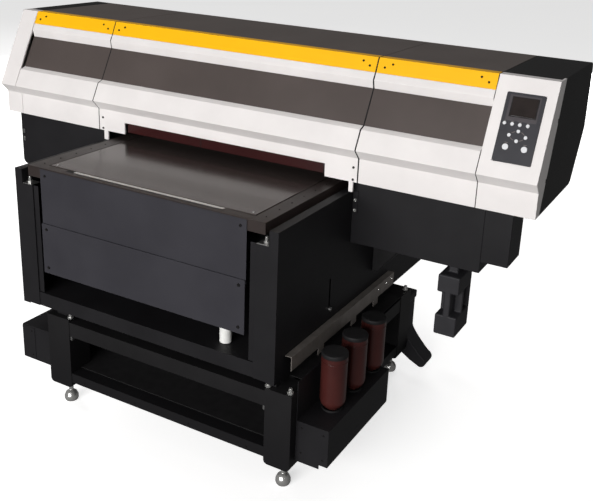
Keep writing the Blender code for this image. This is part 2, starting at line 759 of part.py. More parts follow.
def add_housing():
    """Housing walls, pan, rear panel, fixed front panel, side rail and stop post."""
    right = add_housing_wall("housing_wall_right", 1)
    add_housing_wall("housing_wall_left", -1)
    slot_x = (HOUSING_RIGHT_X - SHEET - OVER, HOUSING_RIGHT_X + OVER)
    cut_box(right, slot_x, WALL_SLOT_Y, WALL_SLOT_Z)

    inner_x = (HOUSING_LEFT_X + SHEET + TOUCH, HOUSING_RIGHT_X - SHEET - TOUCH)
    front = FRONT_Y + SHEET + TOUCH
    pan = box("housing_pan", inner_x, (front, -front), (PAN_BOTTOM_Z, PAN_TOP_Z))
    inside_x = (inner_x[0] + SHEET, inner_x[1] - SHEET)
    inside_y = (front + SHEET, -front - SHEET)
    cut_box(pan, inside_x, inside_y, (PAN_BOTTOM_Z - OVER, PAN_TOP_Z - SHEET))
    paint_black(pan)

    rear_y = (-front - REAR_PANEL_INSET[1], -front - REAR_PANEL_INSET[0])
    rear_z = (PAN_TOP_Z + TOUCH, HOUSING_TOP_Z - WALL_LIP - TOUCH)
    paint_black(box("housing_rear_panel", inner_x, rear_y, rear_z))

    panel = box("lower_front_panel", PANEL_BAY_X, LOWER_PANEL_Y, LOWER_PANEL_Z)
    paint(panel, 0.040, 0.039, 0.045, 0.45)

    web_x = (SIDE_RAIL_X[1] - SHEET, SIDE_RAIL_X[1])
    rail = box("side_rail", SIDE_RAIL_X, SIDE_RAIL_Y, (SIDE_RAIL_Z[1] - SHEET, SIDE_RAIL_Z[1]))
    join_box(rail, web_x, SIDE_RAIL_Y, SIDE_RAIL_Z)
    for tab_y in SIDE_RAIL_TAB_Y:
        tab_span = (tab_y - SIDE_RAIL_TAB_HALF, tab_y + SIDE_RAIL_TAB_HALF)
        join_box(rail, web_x, tab_span, (SIDE_RAIL_TAB_Z, SIDE_RAIL_Z[0] + SHEET))
    paint_steel(rail)

    post_z = (PAN_TOP_Z + TOUCH, POST_TOP_Z)
    post = cylinder("lift_stop_post", POST_CENTRE, POST_RADIUS, post_z)
    paint(post, 0.85, 0.85, 0.83, 0.35)


def add_lift():
    """Lift frame, its front panel, the table surround and the two feed rails."""
    frame = box("lift_frame", LIFT_FRAME_X, LIFT_FRAME_Y, LIFT_FRAME_Z)
    wall = LIFT_TUBE + LIFT_SHELF
    inside = (LIFT_FRAME_X[0] + wall, LIFT_FRAME_X[1] - wall)
    for bay_y in LIFT_BAY_Y:
        cut_box(frame, inside, bay_y, (LIFT_FRAME_Z[0] - OVER, LIFT_FRAME_Z[1] + OVER))
    post_z = (LIFT_FRAME_Z[1] - OVER, DECK_Z[0] - TOUCH)
    far = LIFT_POST + LIFT_POST_INSET
    for low in (LIFT_FRAME_X[0] + LIFT_POST_INSET, LIFT_FRAME_X[1] - far):
        for front in (LIFT_FRAME_Y[0] + LIFT_POST_INSET, LIFT_FRAME_Y[1] - far):
            join_box(frame, (low, low + LIFT_POST), (front, front + LIFT_POST), post_z)
    paint(frame, 0.10, 0.10, 0.11, 0.50, 0.4)

    panel = box("upper_front_panel", PANEL_BAY_X, UPPER_PANEL_Y, UPPER_PANEL_Z)
    paint(panel, 0.040, 0.039, 0.045, 0.45)

    rim_y = (UPPER_PANEL_Y[1] + TOUCH, RIM_REAR_Y)
    rim = box("table_surround", RIM_X, rim_y, (RIM_SKIRT_Z, RIM_TOP_Z))
    under_x = (RIM_X[0] + SHEET, RIM_X[1] - SHEET)
    cut_box(rim, WELL_X, (WELL_FRONT_Y, RIM_REAR_Y + OVER), (DECK_Z[1], RIM_TOP_Z + OVER))
    for low, high in ((under_x[0], WELL_X[0] - SHEET), (WELL_X[1] + SHEET, under_x[1])):
        under_y = (rim_y[0] + SHEET, RIM_REAR_Y - SHEET)
        cut_box(rim, (low, high), under_y, (RIM_SKIRT_Z - OVER, RIM_TOP_Z - SHEET))
    for centre in FEED_X:
        slot_x = (centre - FEED_SLOT_HALF, centre + FEED_SLOT_HALF)
        cut_box(rim, slot_x, FEED_SLOT_Y, (DECK_Z[0] - OVER, DECK_Z[1] + OVER))
    paint(rim, 0.062, 0.048, 0.044, 0.40)

    for side, centre in zip(("left", "right"), FEED_X):
        rail_x = (centre - FEED_RAIL_HALF, centre + FEED_RAIL_HALF)
        rail = box("feed_rail_" + side, rail_x, FEED_RAIL_Y, FEED_RAIL_Z)
        paint_steel(rail)


def add_table():
    """Table plate and the carriage that carries it on the feed rails."""
    plate = box("table_plate", TABLE_X, TABLE_Y, TABLE_Z)
    set_origin(plate, (sum(TABLE_X) / 2, sum(TABLE_Y) / 2, TABLE_Z[1]))
    paint(plate, 0.095, 0.080, 0.072, 0.28, 0.5)

    carriage_x = (FEED_X[0] - TABLE_CARRIAGE_MARGIN, FEED_X[1] + TABLE_CARRIAGE_MARGIN)
    top_z = (DECK_Z[1] + TABLE_CARRIAGE_LIFT, TABLE_Z[0] - TOUCH)
    shoe_z = (FEED_RAIL_Z[1] + TOUCH, FEED_RAIL_Z[1] + SHOE_HEIGHT)
    leg_z = (FEED_RAIL_Z[1] + OVER, top_z[0] + SHEET)
    carriage = box("table_carriage", carriage_x, TABLE_CARRIAGE_Y, top_z)
    for centre in FEED_X:
        join_box(carriage, (centre - LEG_HALF, centre + LEG_HALF), TABLE_CARRIAGE_Y, leg_z)
        join_box(carriage, (centre - SHOE_HALF, centre + SHOE_HALF), TABLE_CARRIAGE_Y, shoe_z)
    paint(carriage, 0.35, 0.35, 0.36, 0.40, 0.8)


def add_base_frame():
    """Welded base frame: four legs, upper and lower beams, and the pads under the housing."""
    frame = box("base_frame", LEG_LEFT_X, LEG_FRONT_Y, LEG_Z)
    for leg_x in (LEG_LEFT_X, LEG_RIGHT_X):
        for leg_y in (LEG_FRONT_Y, LEG_REAR_Y):
            if (leg_x, leg_y) != (LEG_LEFT_X, LEG_FRONT_Y):
                join_box(frame, leg_x, leg_y, LEG_Z)
            pad_x = (sum(leg_x) / 2 - PAD_HALF, sum(leg_x) / 2 + PAD_HALF)
            pad_y = (sum(leg_y) / 2 - PAD_HALF, sum(leg_y) / 2 + PAD_HALF)
            if leg_x == LEG_RIGHT_X:
                pad_x = (LEG_RIGHT_X[0] + BEAM_INSET, LEG_RIGHT_X[0] + BEAM_INSET + PAD_HALF)
            join_box(frame, pad_x, pad_y, (LEG_Z[1] - OVER, PAN_BOTTOM_Z - TOUCH))
    across = (LEG_LEFT_X[1] - OVER, LEG_RIGHT_X[0] + OVER)
    along = (LEG_FRONT_Y[1] - OVER, LEG_REAR_Y[0] + OVER)
    beams = ((UPPER_BEAM_Z, UPPER_BEAM_DEPTH), (LOWER_BEAM_Z, LOWER_BEAM_DEPTH))
    for beam_z, depth in beams:
        front_low = LEG_FRONT_Y[0] + BEAM_INSET
        rear_high = LEG_REAR_Y[1] - BEAM_INSET
        side_depth = depth * SIDE_BEAM_SHARE
        join_box(frame, across, (front_low, front_low + depth), beam_z)
        join_box(frame, across, (rear_high - depth, rear_high), beam_z)
        left_low = LEG_LEFT_X[0] + BEAM_INSET
        right_high = LEG_RIGHT_X[1] - BEAM_INSET
        join_box(frame, (left_low, left_low + side_depth), along, beam_z)
        join_box(frame, (right_high - side_depth, right_high), along, beam_z)
    paint_black(frame)


def add_levelling_feet():
    """Levelling feet: domed pad, flange and threaded stem."""
    top = LEG_Z[0] - TOUCH
    profile = [
        (0.0, top),
        (0.0080, top),
        (0.0080, 0.040),
        (0.0130, 0.036),
        (0.0200, 0.030),
        (FOOT_RADIUS, 0.018),
        (FOOT_RADIUS, 0.008),
        (0.0220, 0.0),
        (0.0, 0.0),
    ]
    for name, centre in FOOT_CENTRES.items():
        paint_steel(turned(name, profile, centre))


def add_ink_supply():
    """Ink tray with its back plate, and three upturned bottles in the tray's sockets."""
    tray = box("ink_tray", TRAY_X, TRAY_Y, TRAY_Z)
    inside_x = (TRAY_X[0] + SHEET, TRAY_X[1] - SHEET)
    inside_y = (TRAY_Y[0] + SHEET, TRAY_Y[1] - SHEET)
    cut_box(tray, inside_x, inside_y, (TRAY_Z[0] - OVER, TRAY_Z[1] - TRAY_TOP))
    join_box(tray, (TRAY_X[0], TRAY_X[0] + SHEET), TRAY_Y, (TRAY_Z[1] - OVER, TRAY_BACK_Z))
    for centre_y in BOTTLE_Y:
        socket = cylinder("socket", (BOTTLE_X, centre_y), NECK_RADIUS + SOCKET_ROOM, SOCKET_Z)
        cut(tray, socket)
    paint_black(tray)
    low, high = BOTTLE_BODY_Z
    profile = [
        (0.0, high),
        (BOTTLE_RADIUS - 0.006, high),
        (BOTTLE_RADIUS - 0.001, high - 0.004),
        (BOTTLE_RADIUS, high - 0.012),
        (BOTTLE_RADIUS, low),
        (BOTTLE_RADIUS - 0.004, low - 0.013),
        (BOTTLE_RADIUS - 0.014, low - 0.025),
        (NECK_RADIUS, low - 0.032),
        (NECK_RADIUS, NECK_BOTTOM_Z),
        (0.0, NECK_BOTTOM_Z),
    ]
    for index, centre_y in enumerate(BOTTLE_Y):
        bottle = turned("ink_bottle_" + str(index + 1), profile, (BOTTLE_X, centre_y))
        paint(bottle, 0.060, 0.016, 0.014, 0.35)


def add_electrical_box():
    """Electrical box on the base frame's left side, open towards the frame."""
    item = box("electrical_box", BOX_X, BOX_Y, BOX_Z)
    inside_y = (BOX_Y[0] + SHEET, BOX_Y[1] - SHEET)
    inside_z = (BOX_Z[0] + SHEET, BOX_Z[1] - SHEET)
    cut_box(item, (BOX_X[0] + SHEET, BOX_X[1] + OVER), inside_y, inside_z)
    paint_black(item)


def add_rear_stabiliser():
    """Rear stabiliser: block on the rear leg's back with an arm that curves out to a toe."""
    steps = 8
    outer = []
    for index in range(steps + 1):
        along = index / steps
        outer.append((
            ARM_TOP[0] + ARM_RUN[0] * along + ARM_CURVE[0] * along ** 2,
            ARM_TOP[1] + ARM_RUN[1] * along + ARM_CURVE[1] * along ** 2,
        ))
    toe = []
    for index in range(steps + 1):
        angle = math.radians(TOE_START + (TOE_END - TOE_START) * index / steps)
        toe.append((
            TOE_CENTRE[0] + TOE_RADIUS * math.cos(angle),
            TOE_CENTRE[1] + TOE_RADIUS * math.sin(angle),
        ))
    outline = STABILISER_HEAD + outer + toe + STABILISER_SOLE
    item = prism("rear_stabiliser", outline, (LEG_REAR_Y[1] + TOUCH, STABILISER_REAR_Y), ALONG_Y)
    paint_black(item)


def build():
    """Builds the whole printer."""
    clear_scene()
    add_front_covers()
    add_rear_covers()
    module = add_gantry_ends()
    add_control_panel(module)
    add_gantry_frame()
    add_print_carriage()
    add_lower_covers()
    add_support_block()
    add_gantry_mount()
    add_housing()
    add_lift()
    add_table()
    add_base_frame()
    add_levelling_feet()
    add_ink_supply()
    add_electrical_box()
    add_rear_stabiliser()


build()
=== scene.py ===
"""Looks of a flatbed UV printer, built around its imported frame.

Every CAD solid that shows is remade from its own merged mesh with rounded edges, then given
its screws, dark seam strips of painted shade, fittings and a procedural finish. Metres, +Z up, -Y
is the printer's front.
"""

import json
import logging
import math
from collections.abc import Callable
from dataclasses import dataclass, field
from enum import Enum

import bmesh
import bpy
from mathutils import Euler, Matrix, Vector

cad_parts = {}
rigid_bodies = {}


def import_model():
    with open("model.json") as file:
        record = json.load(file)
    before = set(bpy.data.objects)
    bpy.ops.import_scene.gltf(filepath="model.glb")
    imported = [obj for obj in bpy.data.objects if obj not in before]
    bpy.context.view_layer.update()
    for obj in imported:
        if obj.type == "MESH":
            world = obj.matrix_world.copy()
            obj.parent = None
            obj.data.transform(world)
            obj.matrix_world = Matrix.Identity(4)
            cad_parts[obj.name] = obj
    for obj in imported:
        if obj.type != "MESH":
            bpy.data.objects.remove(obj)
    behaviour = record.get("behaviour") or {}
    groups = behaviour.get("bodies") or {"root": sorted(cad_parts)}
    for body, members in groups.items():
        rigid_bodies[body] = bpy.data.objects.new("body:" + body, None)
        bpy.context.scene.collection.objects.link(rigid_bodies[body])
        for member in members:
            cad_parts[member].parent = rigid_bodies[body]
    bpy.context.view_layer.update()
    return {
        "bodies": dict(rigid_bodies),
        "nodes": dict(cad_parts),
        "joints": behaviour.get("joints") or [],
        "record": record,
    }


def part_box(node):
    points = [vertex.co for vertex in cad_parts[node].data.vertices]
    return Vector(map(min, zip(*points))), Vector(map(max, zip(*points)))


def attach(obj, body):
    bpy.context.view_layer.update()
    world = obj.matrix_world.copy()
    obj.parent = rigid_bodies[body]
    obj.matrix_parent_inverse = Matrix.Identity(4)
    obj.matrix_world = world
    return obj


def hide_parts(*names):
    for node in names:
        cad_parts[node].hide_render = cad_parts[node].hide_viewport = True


LOG = logging.getLogger("flatbed_uv_printer")
MM = 0.001
INNER_SKIN = 0.0025  # thickness of the folded sheets

Point = tuple[float, float, float]
Span = tuple[float, float]
Box = tuple[Span, Span, Span]  # its two ends in X, in Y and in Z
Mesh = bmesh.types.BMesh
Tree = bpy.types.NodeTree
Node = bpy.types.Node

# Directions, as seen by someone standing in front
FRONT = Vector((0.0, -1.0, 0.0))
BACK = Vector((0.0, 1.0, 0.0))
RIGHT = Vector((1.0, 0.0, 0.0))
UP = Vector((0.0, 0.0, 1.0))

NOISE_SPAN = {"From Min": 0.3, "From Max": 0.7}  # where most of a noise's values lie
WHITE = (1.0, 1.0, 1.0, 1.0)


def linear_colour(hex_code: str) -> tuple[float, float, float, float]:
    """Turns an sRGB hex colour into a linear one.

    Args:
        hex_code: Six hex digits, with or without a leading hash.

    Returns:
        Linear red, green, blue and an alpha of 1.
    """
    digits = hex_code.lstrip("#")
    channels = []
    for start in (0, 2, 4):
        value = int(digits[start:start + 2], 16) / 255
        channels.append(value / 12.92 if value <= 0.04045 else ((value + 0.055) / 1.055) ** 2.4)
    return channels[0], channels[1], channels[2], 1.0


def add_node(
    tree: Tree,
    kind: str,
    settings: dict | None = None,
    links: dict | None = None,
) -> Node:
    """Adds a shader node with its settings and links.

    Args:
        tree: The material's node tree.
        kind: The node's type.
        settings: Values by socket name, socket number or attribute name.
        links: Source (node, output) by input name or number.

    Returns:
        The new node.
    """
    node = tree.nodes.new(kind)
    for key, value in (settings or {}).items():
        if isinstance(key, str) and hasattr(node, key):
            setattr(node, key, value)
        else:
            node.inputs[key].default_value = value
    for key, (source, output) in (links or {}).items():
        tree.links.new(source.outputs[output], node.inputs[key])
    return node


@dataclass(frozen=True)
class Finish:
    """A surface finish: mottled colour, fine grain in roughness and a grain relief.

    Sizes are real ones in millimetres.
    """

    name: str
    colour: str
    mottle: str
    roughness: Span = (0.45, 0.55)
    mottle_mm: float = 90.0
    grain_mm: float = 2.0
    relief_mm: float = 0.05
    metallic: float = 0.0
    coat: float = 0.0
    coat_roughness: float = 0.08
    specular: float = 0.5
    stretch: Point = (1.0, 1.0, 1.0)

    def base_colour(self, tree: Tree, coords: Node) -> Node:
        """Builds the colour pattern.

        Args:
            tree: The material's node tree.
            coords: Node whose first output is the position in metres.

        Returns:
            A Mix node whose third output is the colour.
        """
        cloud = add_node(
            tree,
            "ShaderNodeTexNoise",
            {"Scale": 1.0 / (self.mottle_mm * MM), "Detail": 4.0, "Roughness": 0.55},
            {"Vector": (coords, 0)},
        )
        spread = add_node(tree, "ShaderNodeMapRange", NOISE_SPAN, {"Value": (cloud, "Fac")})
        return add_node(
            tree,
            "ShaderNodeMix",
            {"data_type": "RGBA", 6: linear_colour(self.colour), 7: linear_colour(self.mottle)},
            {0: (spread, 0)},
        )

    def build(self) -> bpy.types.Material:
        """Builds the material.

        Returns:
            The finished material.
        """
        material = bpy.data.materials.new(self.name)
        material.use_nodes = True
        tree = material.node_tree
        tree.nodes.clear()
        place = add_node(tree, "ShaderNodeTexCoord")
        coords = add_node(
            tree,
            "ShaderNodeMapping",
            {"Scale": self.stretch},
            {"Vector": (place, "Object")},
        )
        colour = self.base_colour(tree, coords)
        grain = add_node(
            tree,
            "ShaderNodeTexNoise",
            {"Scale": 1.0 / (self.grain_mm * MM), "Detail": 3.0, "Roughness": 0.6},
            {"Vector": (coords, 0)},
        )
        rough = add_node(
            tree,
            "ShaderNodeMapRange",
            {**NOISE_SPAN, "To Min": self.roughness[0], "To Max": self.roughness[1]},
            {"Value": (grain, "Fac")},
        )
        relief = add_node(
            tree,
            "ShaderNodeBump",
            {"Strength": 0.6, "Distance": self.relief_mm * MM},
            {"Height": (grain, "Fac")},
        )
        shader = add_node(
            tree,
            "ShaderNodeBsdfPrincipled",
            {
                "Metallic": self.metallic,
                "Coat Weight": self.coat,
                "Coat Roughness": self.coat_roughness,
                "Specular IOR Level": self.specular,
            },
            {"Base Color": (colour, 2), "Roughness": (rough, 0), "Normal": (relief, 0)},
        )
        add_node(tree, "ShaderNodeOutputMaterial", None, {"Surface": (shader, 0)})
        return material


@dataclass(frozen=True)
class GradedFinish(Finish):
    """A finish whose colour also runs from one to another along the height."""

    low: str = "#000000"
    low_z: float = 0.0
    high_z: float = 1.0

    def base_colour(self, tree: Tree, coords: Node) -> Node:
        """Runs from the low colour up to the mottled one.

        Args:
            tree: The material's node tree.
            coords: Node whose first output is the position in metres.

        Returns:
            A Mix node whose third output is the colour.
        """
        above = super().base_colour(tree, coords)
        split = add_node(tree, "ShaderNodeSeparateXYZ", None, {"Vector": (coords, 0)})
        rise = add_node(
            tree,
            "ShaderNodeMapRange",
            {"From Min": self.low_z, "From Max": self.high_z},
            {"Value": (split, "Z")},
        )
        return add_node(
            tree,
            "ShaderNodeMix",
            {"data_type": "RGBA", 6: linear_colour(self.low)},
            {0: (rise, 0), 7: (above, 2)},
        )


@dataclass(frozen=True)
class LitPaper(Finish):
    """Studio paper that is lit from below as well, so that it stays pale."""

    glow: float = 0.62

    def build(self) -> bpy.types.Material:
        """Builds the paper and lets it glow.

        Returns:
            The finished material.
        """
        material = super().build()
        for node in material.node_tree.nodes:
            if node.type == "BSDF_PRINCIPLED":
                node.inputs["Emission Color"].default_value = WHITE
                node.inputs["Emission Strength"].default_value = self.glow
        return material


@dataclass(frozen=True)
class PerforatedFinish(Finish):
    """A plate finish with a grid of fine suction holes."""

    hole: str = "#1A1716"
    pitch_mm: float = 20.0
    hole_mm: float = 2.4
    hole_depth: float = 0.55  # how far the dots' colour goes towards the hole's
    hole_core: float = 0.6  # share of a dot that is fully dark

    def base_colour(self, tree: Tree, coords: Node) -> Node:
        """Puts dark dots at the grid's crossings.

        Args:
            tree: The material's node tree.
            coords: Node whose first output is the position in metres.

        Returns:
            A Mix node whose third output is the colour.
        """
        plain = super().base_colour(tree, coords)
        dots = add_node(
            tree,
            "ShaderNodeTexVoronoi",
            {"voronoi_dimensions": "2D", "Scale": 1.0 / (self.pitch_mm * MM), "Randomness": 0.0},
            {"Vector": (coords, 0)},
        )
        edge = self.hole_mm / self.pitch_mm / 2
        inside = add_node(
            tree,
            "ShaderNodeMapRange",
            {"From Min": edge, "From Max": edge * self.hole_core, "To Max": self.hole_depth},
            {"Value": (dots, "Distance")},
        )
        return add_node(
            tree,
            "ShaderNodeMix",
            {"data_type": "RGBA", 7: linear_colour(self.hole)},
            {0: (inside, 0), 6: (plain, 2)},
        )


class Look(Enum):
    """The printer's finishes, each named for what it is."""

    # Injection-moulded ABS: pale warm grey-white, satin, with a fine spark-eroded grain.
    WHITE_ABS = Finish(
        "white_abs_fine_texture", "#EDE8E6", "#E4DFDD", (0.38, 0.50), 180.0, 1.2, 0.03
    )
    # Smoked polycarbonate: dark brown-grey film that mirrors a bright room.
    SMOKED_WINDOW = Finish(
        "smoked_polycarbonate", "#463E3B", "#544B48", (0.34, 0.38), 420.0, 12.0, 0.0, coat=0.0
    )
    # Enamelled steel edge strip: strong warm yellow, satin.
    YELLOW_ENAMEL = Finish(
        "yellow_enamel_steel", "#FFBF06", "#FBBA04", (0.36, 0.46), 200.0, 1.5, 0.02, specular=0.3
    )
    # Powder-coated roof sheet: brown-black, fine leather-like texture.
    ROOF_POWDER = Finish(
        "brown_black_powder_coat", "#574C47", "#5F544F", (0.32, 0.44), 150.0, 1.6, 0.08,
        specular=0.5,
    )
    # Powder-coated side sheet: neutral black.
    SIDE_POWDER = Finish(
        "black_side_powder_coat", "#141313", "#1B1919", (0.46, 0.60), 160.0, 1.6, 0.10, specular=0.2
    )
    # Powder-coated steel: charcoal with orange-peel relief.
    CHARCOAL_POWDER = Finish(
        "charcoal_powder_coat", "#181719", "#1E1D1F", (0.44, 0.58), 140.0, 1.8, 0.10, specular=0.2
    )
    # Powder-coated front panels: a touch bluer and smoother.
    PANEL_POWDER = Finish(
        "slate_powder_coat", "#313035", "#38373C", (0.40, 0.50), 220.0, 1.8, 0.06, specular=0.2
    )
    # Welded base frame: charcoal powder coat that darkens towards the floor.
    FRAME_POWDER = GradedFinish(
        "frame_powder_coat", "#171617", "#1C1B1C", (0.42, 0.56), 120.0, 2.0, 0.12, specular=0.2,
        low="#131214", low_z=0.06, high_z=0.34,
    )
    # Painted surround of the table: dark warm brown.
    SURROUND_PAINT = Finish(
        "dark_brown_surround_paint", "#2C2523", "#342C2A", (0.36, 0.48), 160.0, 1.4, 0.05,
        specular=0.3,
    )
    # Hard-anodised aluminium table: ground flat, dark bronze-grey, half mirror.
    ANODISED_TABLE = PerforatedFinish(
        "hard_anodised_aluminium", "#403836", "#48403D", (0.17, 0.25), 300.0, 4.0, 0.01,
        metallic=0.35, coat=0.1, specular=0.3,
    )
    # Tinted acrylic that stops the lamps' light: deep red-black.
    UV_ACRYLIC = Finish(
        "uv_blocking_acrylic", "#361616", "#2E1212", (0.14, 0.22), 200.0, 4.0, 0.01, coat=0.6
    )
    # Glass-filled moulding: black, matt.
    BLACK_MOULDING = Finish(
        "black_glass_filled_moulding", "#232225", "#2A292C", (0.50, 0.64), 60.0, 0.9, 0.10,
        specular=0.3,
    )
    # Zinc-plated steel: pale grey with a fine spangle.
    ZINC_STEEL = Finish(
        "zinc_plated_steel", "#A9A8A6", "#8C8B8A", (0.26, 0.44), 14.0, 0.8, 0.03, metallic=0.9
    )
    # Zinc-plated rail on the housing's side, dulled by handling.
    RAIL_PLATE = Finish(
        "dull_zinc_rail", "#8C8580", "#7C7671", (0.34, 0.50), 30.0, 1.0, 0.03, metallic=0.4
    )
    # Ground steel guide rails: brushed along their length.
    GROUND_STEEL = Finish(
        "ground_rail_steel", "#9C9B99", "#B4B3B0", (0.20, 0.34), 8.0, 0.8, 0.03, metallic=1.0,
        stretch=(1.0, 0.04, 1.0),
    )
    # Chrome-plated levelling pads and screws.
    CHROME = Finish(
        "chrome_plate", "#D6D5D2", "#C4C3C0", (0.16, 0.26), 40.0, 1.0, 0.01, metallic=0.75
    )
    # Black-oxide socket screws.
    BLACK_OXIDE = Finish(
        "black_oxide_screw", "#1D1B1B", "#2A2827", (0.35, 0.50), 6.0, 0.5, 0.02, metallic=0.6
    )
    # Translucent bottle plastic full of ink: dark red-brown under a gloss skin.
    INK_BOTTLE = GradedFinish(
        "ink_filled_polyethylene", "#3A1917", "#431E1B", (0.28, 0.38), 50.0, 5.0, 0.04, coat=0.2,
        coat_roughness=0.15, specular=0.3, low="#45201D", low_z=0.26, high_z=0.44,
    )
    # Black bottle base and sockets; also the dark sheets and seam strips that paint shade.
    SOFT_BLACK = Finish(
        "soft_black_rubber_and_painted_shade", "#161516", "#1E1D1E", (0.55, 0.70), 30.0, 1.0, 0.08, specular=0.25
    )
    # Painted steel structure inside.
    INNER_PAINT = Finish(
        "grey_structure_paint", "#55565A", "#5E5F63", (0.40, 0.52), 120.0, 1.6, 0.06
    )
    # Control panel moulding: near-black, satin.
    BEZEL = Finish(
        "satin_black_bezel", "#2C2B30", "#323136", (0.34, 0.44), 40.0, 0.8, 0.03
    )
    # Printed membrane around the screen.
    MEMBRANE = Finish(
        "printed_membrane", "#4A4548", "#443F42", (0.30, 0.40), 30.0, 0.7, 0.01, coat=0.3
    )
    # Printed legend lines: warm mid grey ink.
    LEGEND = Finish("printed_legend_ink", "#7D7470", "#857C78", (0.40, 0.50), 6.0, 0.6, 0.0)
    # Dark LCD glass.
    LCD = Finish("lcd_glass", "#241E1C", "#2B2422", (0.08, 0.14), 30.0, 5.0, 0.0, coat=0.8)
    # Pale key caps.
    KEY = Finish("pale_key_plastic", "#E6E6E8", "#DCDCDE", (0.30, 0.40), 6.0, 0.6, 0.02)
    # Pale acetal stop post.
    ACETAL = Finish("white_acetal", "#F2F1EE", "#E8E7E3", (0.28, 0.38), 20.0, 1.0, 0.02)

    def material(self) -> bpy.types.Material:
        """Returns the look's material, built once."""
        found = bpy.data.materials.get(self.value.name)
        return found if found is not None else self.value.build()


def moved(span: Span, start: float) -> Span:
    """Returns a span whose ends are given from a start."""
    return start + span[0], start + span[1]


def add_block(bm: Mesh, box: Box) -> None:
    """Adds a box to a mesh.

    Args:
        bm: The mesh to add to.
        box: Its two ends along each axis.
    """
    low, high = (Vector(corner) for corner in zip(*box))
    place = Matrix.Translation((high + low) / 2) @ Matrix.Diagonal(high - low).to_4x4()
    bmesh.ops.create_cube(bm, size=1.0, matrix=place)


def turn_to(direction: Vector) -> Matrix:
    """Returns the turn that takes +Z to a direction."""
    return UP.rotation_difference(direction).to_matrix().to_4x4()


def plan_centre(node: str) -> Span:
    """Returns the middle of a CAD node's box in X and Y."""
    low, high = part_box(node)
    return (low.x + high.x) / 2, (low.y + high.y) / 2


def add_rod(
    bm: Mesh,
    start: Point,
    end: Point,
    radius: float,
    sides: int = 24,
    end_radius: float | None = None,
) -> list[bmesh.types.BMVert]:
    """Adds a closed rod or cone between two points.

    Args:
        bm: The mesh to add to.
        start: Middle of the first end.
        end: Middle of the other end.
        radius: Radius at the first end.
        sides: Number of sides.
        end_radius: Radius at the other end, the same when left out.

    Returns:
        The new vertices.
    """
    line = Vector(end) - Vector(start)
    place = Matrix.Translation((Vector(start) + Vector(end)) / 2) @ turn_to(line.normalized())
    made = bmesh.ops.create_cone(
        bm,
        cap_ends=True,
        segments=sides,
        radius1=radius,
        radius2=radius if end_radius is None else end_radius,
        depth=line.length,
        matrix=place,
    )
    return made["verts"]


def add_stud(
    bm: Mesh, centre: Span, heights: Point, radii: Span, sides: int = 16
) -> None:
    """Adds an upright hexagon nut and, from its top on, a stud; radii are in that order."""
    add_rod(bm, (*centre, heights[0]), (*centre, heights[1]), radii[0], 6)
    add_rod(bm, (*centre, heights[1]), (*centre, heights[2]), radii[1], sides)


def add_socket_screw(bm: Mesh, centre: Point, out: Vector, radius: float) -> None:
    """Adds a domed screw head with a sunk socket.

    Args:
        bm: The mesh to add to.
        centre: Where the head meets its surface.
        out: Outward direction.
        radius: Radius of the head; every other size is a share of it.
    """
    out = out.normalized()
    start = Vector(centre) - out * radius * 0.15
    end = Vector(centre) + out * radius * 0.55
    verts = add_rod(bm, start, end, radius, 18, radius * 0.78)
    tops = [f for f in {f for v in verts for f in v.link_faces} if f.normal.dot(out) > 0.95]
    for face in tops:
        bmesh.ops.inset_region(bm, faces=[face], thickness=radius * 0.36, use_even_offset=True)
        bmesh.ops.translate(bm, verts=face.verts, vec=-out * radius * 0.40)


def bevel_edges(
    bm: Mesh, edges: list[bmesh.types.BMEdge], width: float, segments: int
) -> None:
    """Rounds the given edges.

    Args:
        bm: The mesh to round.
        edges: Edges to round.
        width: Width of the rounding.
        segments: Faces across it.
    """
    bmesh.ops.bevel(
        bm,
        geom=edges,
        offset=width,
        offset_type="OFFSET",
        affect="EDGES",
        segments=segments,
        profile=0.5,
        material=-1,
        clamp_overlap=True,
    )


def round_edges(
    bm: Mesh, width: float, segments: int = 2, angle: float = 25.0
) -> None:
    """Rounds every edge that is sharper than an angle.

    Args:
        bm: The mesh to round.
        width: Width of the rounding.
        segments: Faces across it.
        angle: Least angle in degrees between two faces.
    """
    least = math.radians(angle)
    edges = [e for e in bm.edges if len(e.link_faces) == 2 and e.calc_face_angle(0.0) > least]
    bevel_edges(bm, edges, width, segments)


def soften(
    bm: Mesh, away: Callable[[Vector], float], width: float, segments: int = 5
) -> None:
    """Rounds chosen edges that run along Y, the ones on a sheet's inside by less.

    Args:
        bm: The mesh to round.
        away: Gives the distance in metres of an edge's middle from the sharp corner.
        width: Radius at the corner itself.
        segments: Faces across the rounding.
    """
    for inner in (False, True):
        edges = []
        for edge in bm.edges:
            start, end = (v.co for v in edge.verts)
            distance = away((start + end) / 2)
            lengthwise = abs((end - start).y) > 0.999 * (end - start).length
            if lengthwise and (distance > MM) == inner and distance < width / 4:
                edges.append(edge)
        if edges:
            bevel_edges(bm, edges, width - (INNER_SKIN if inner else 0.0), segments)


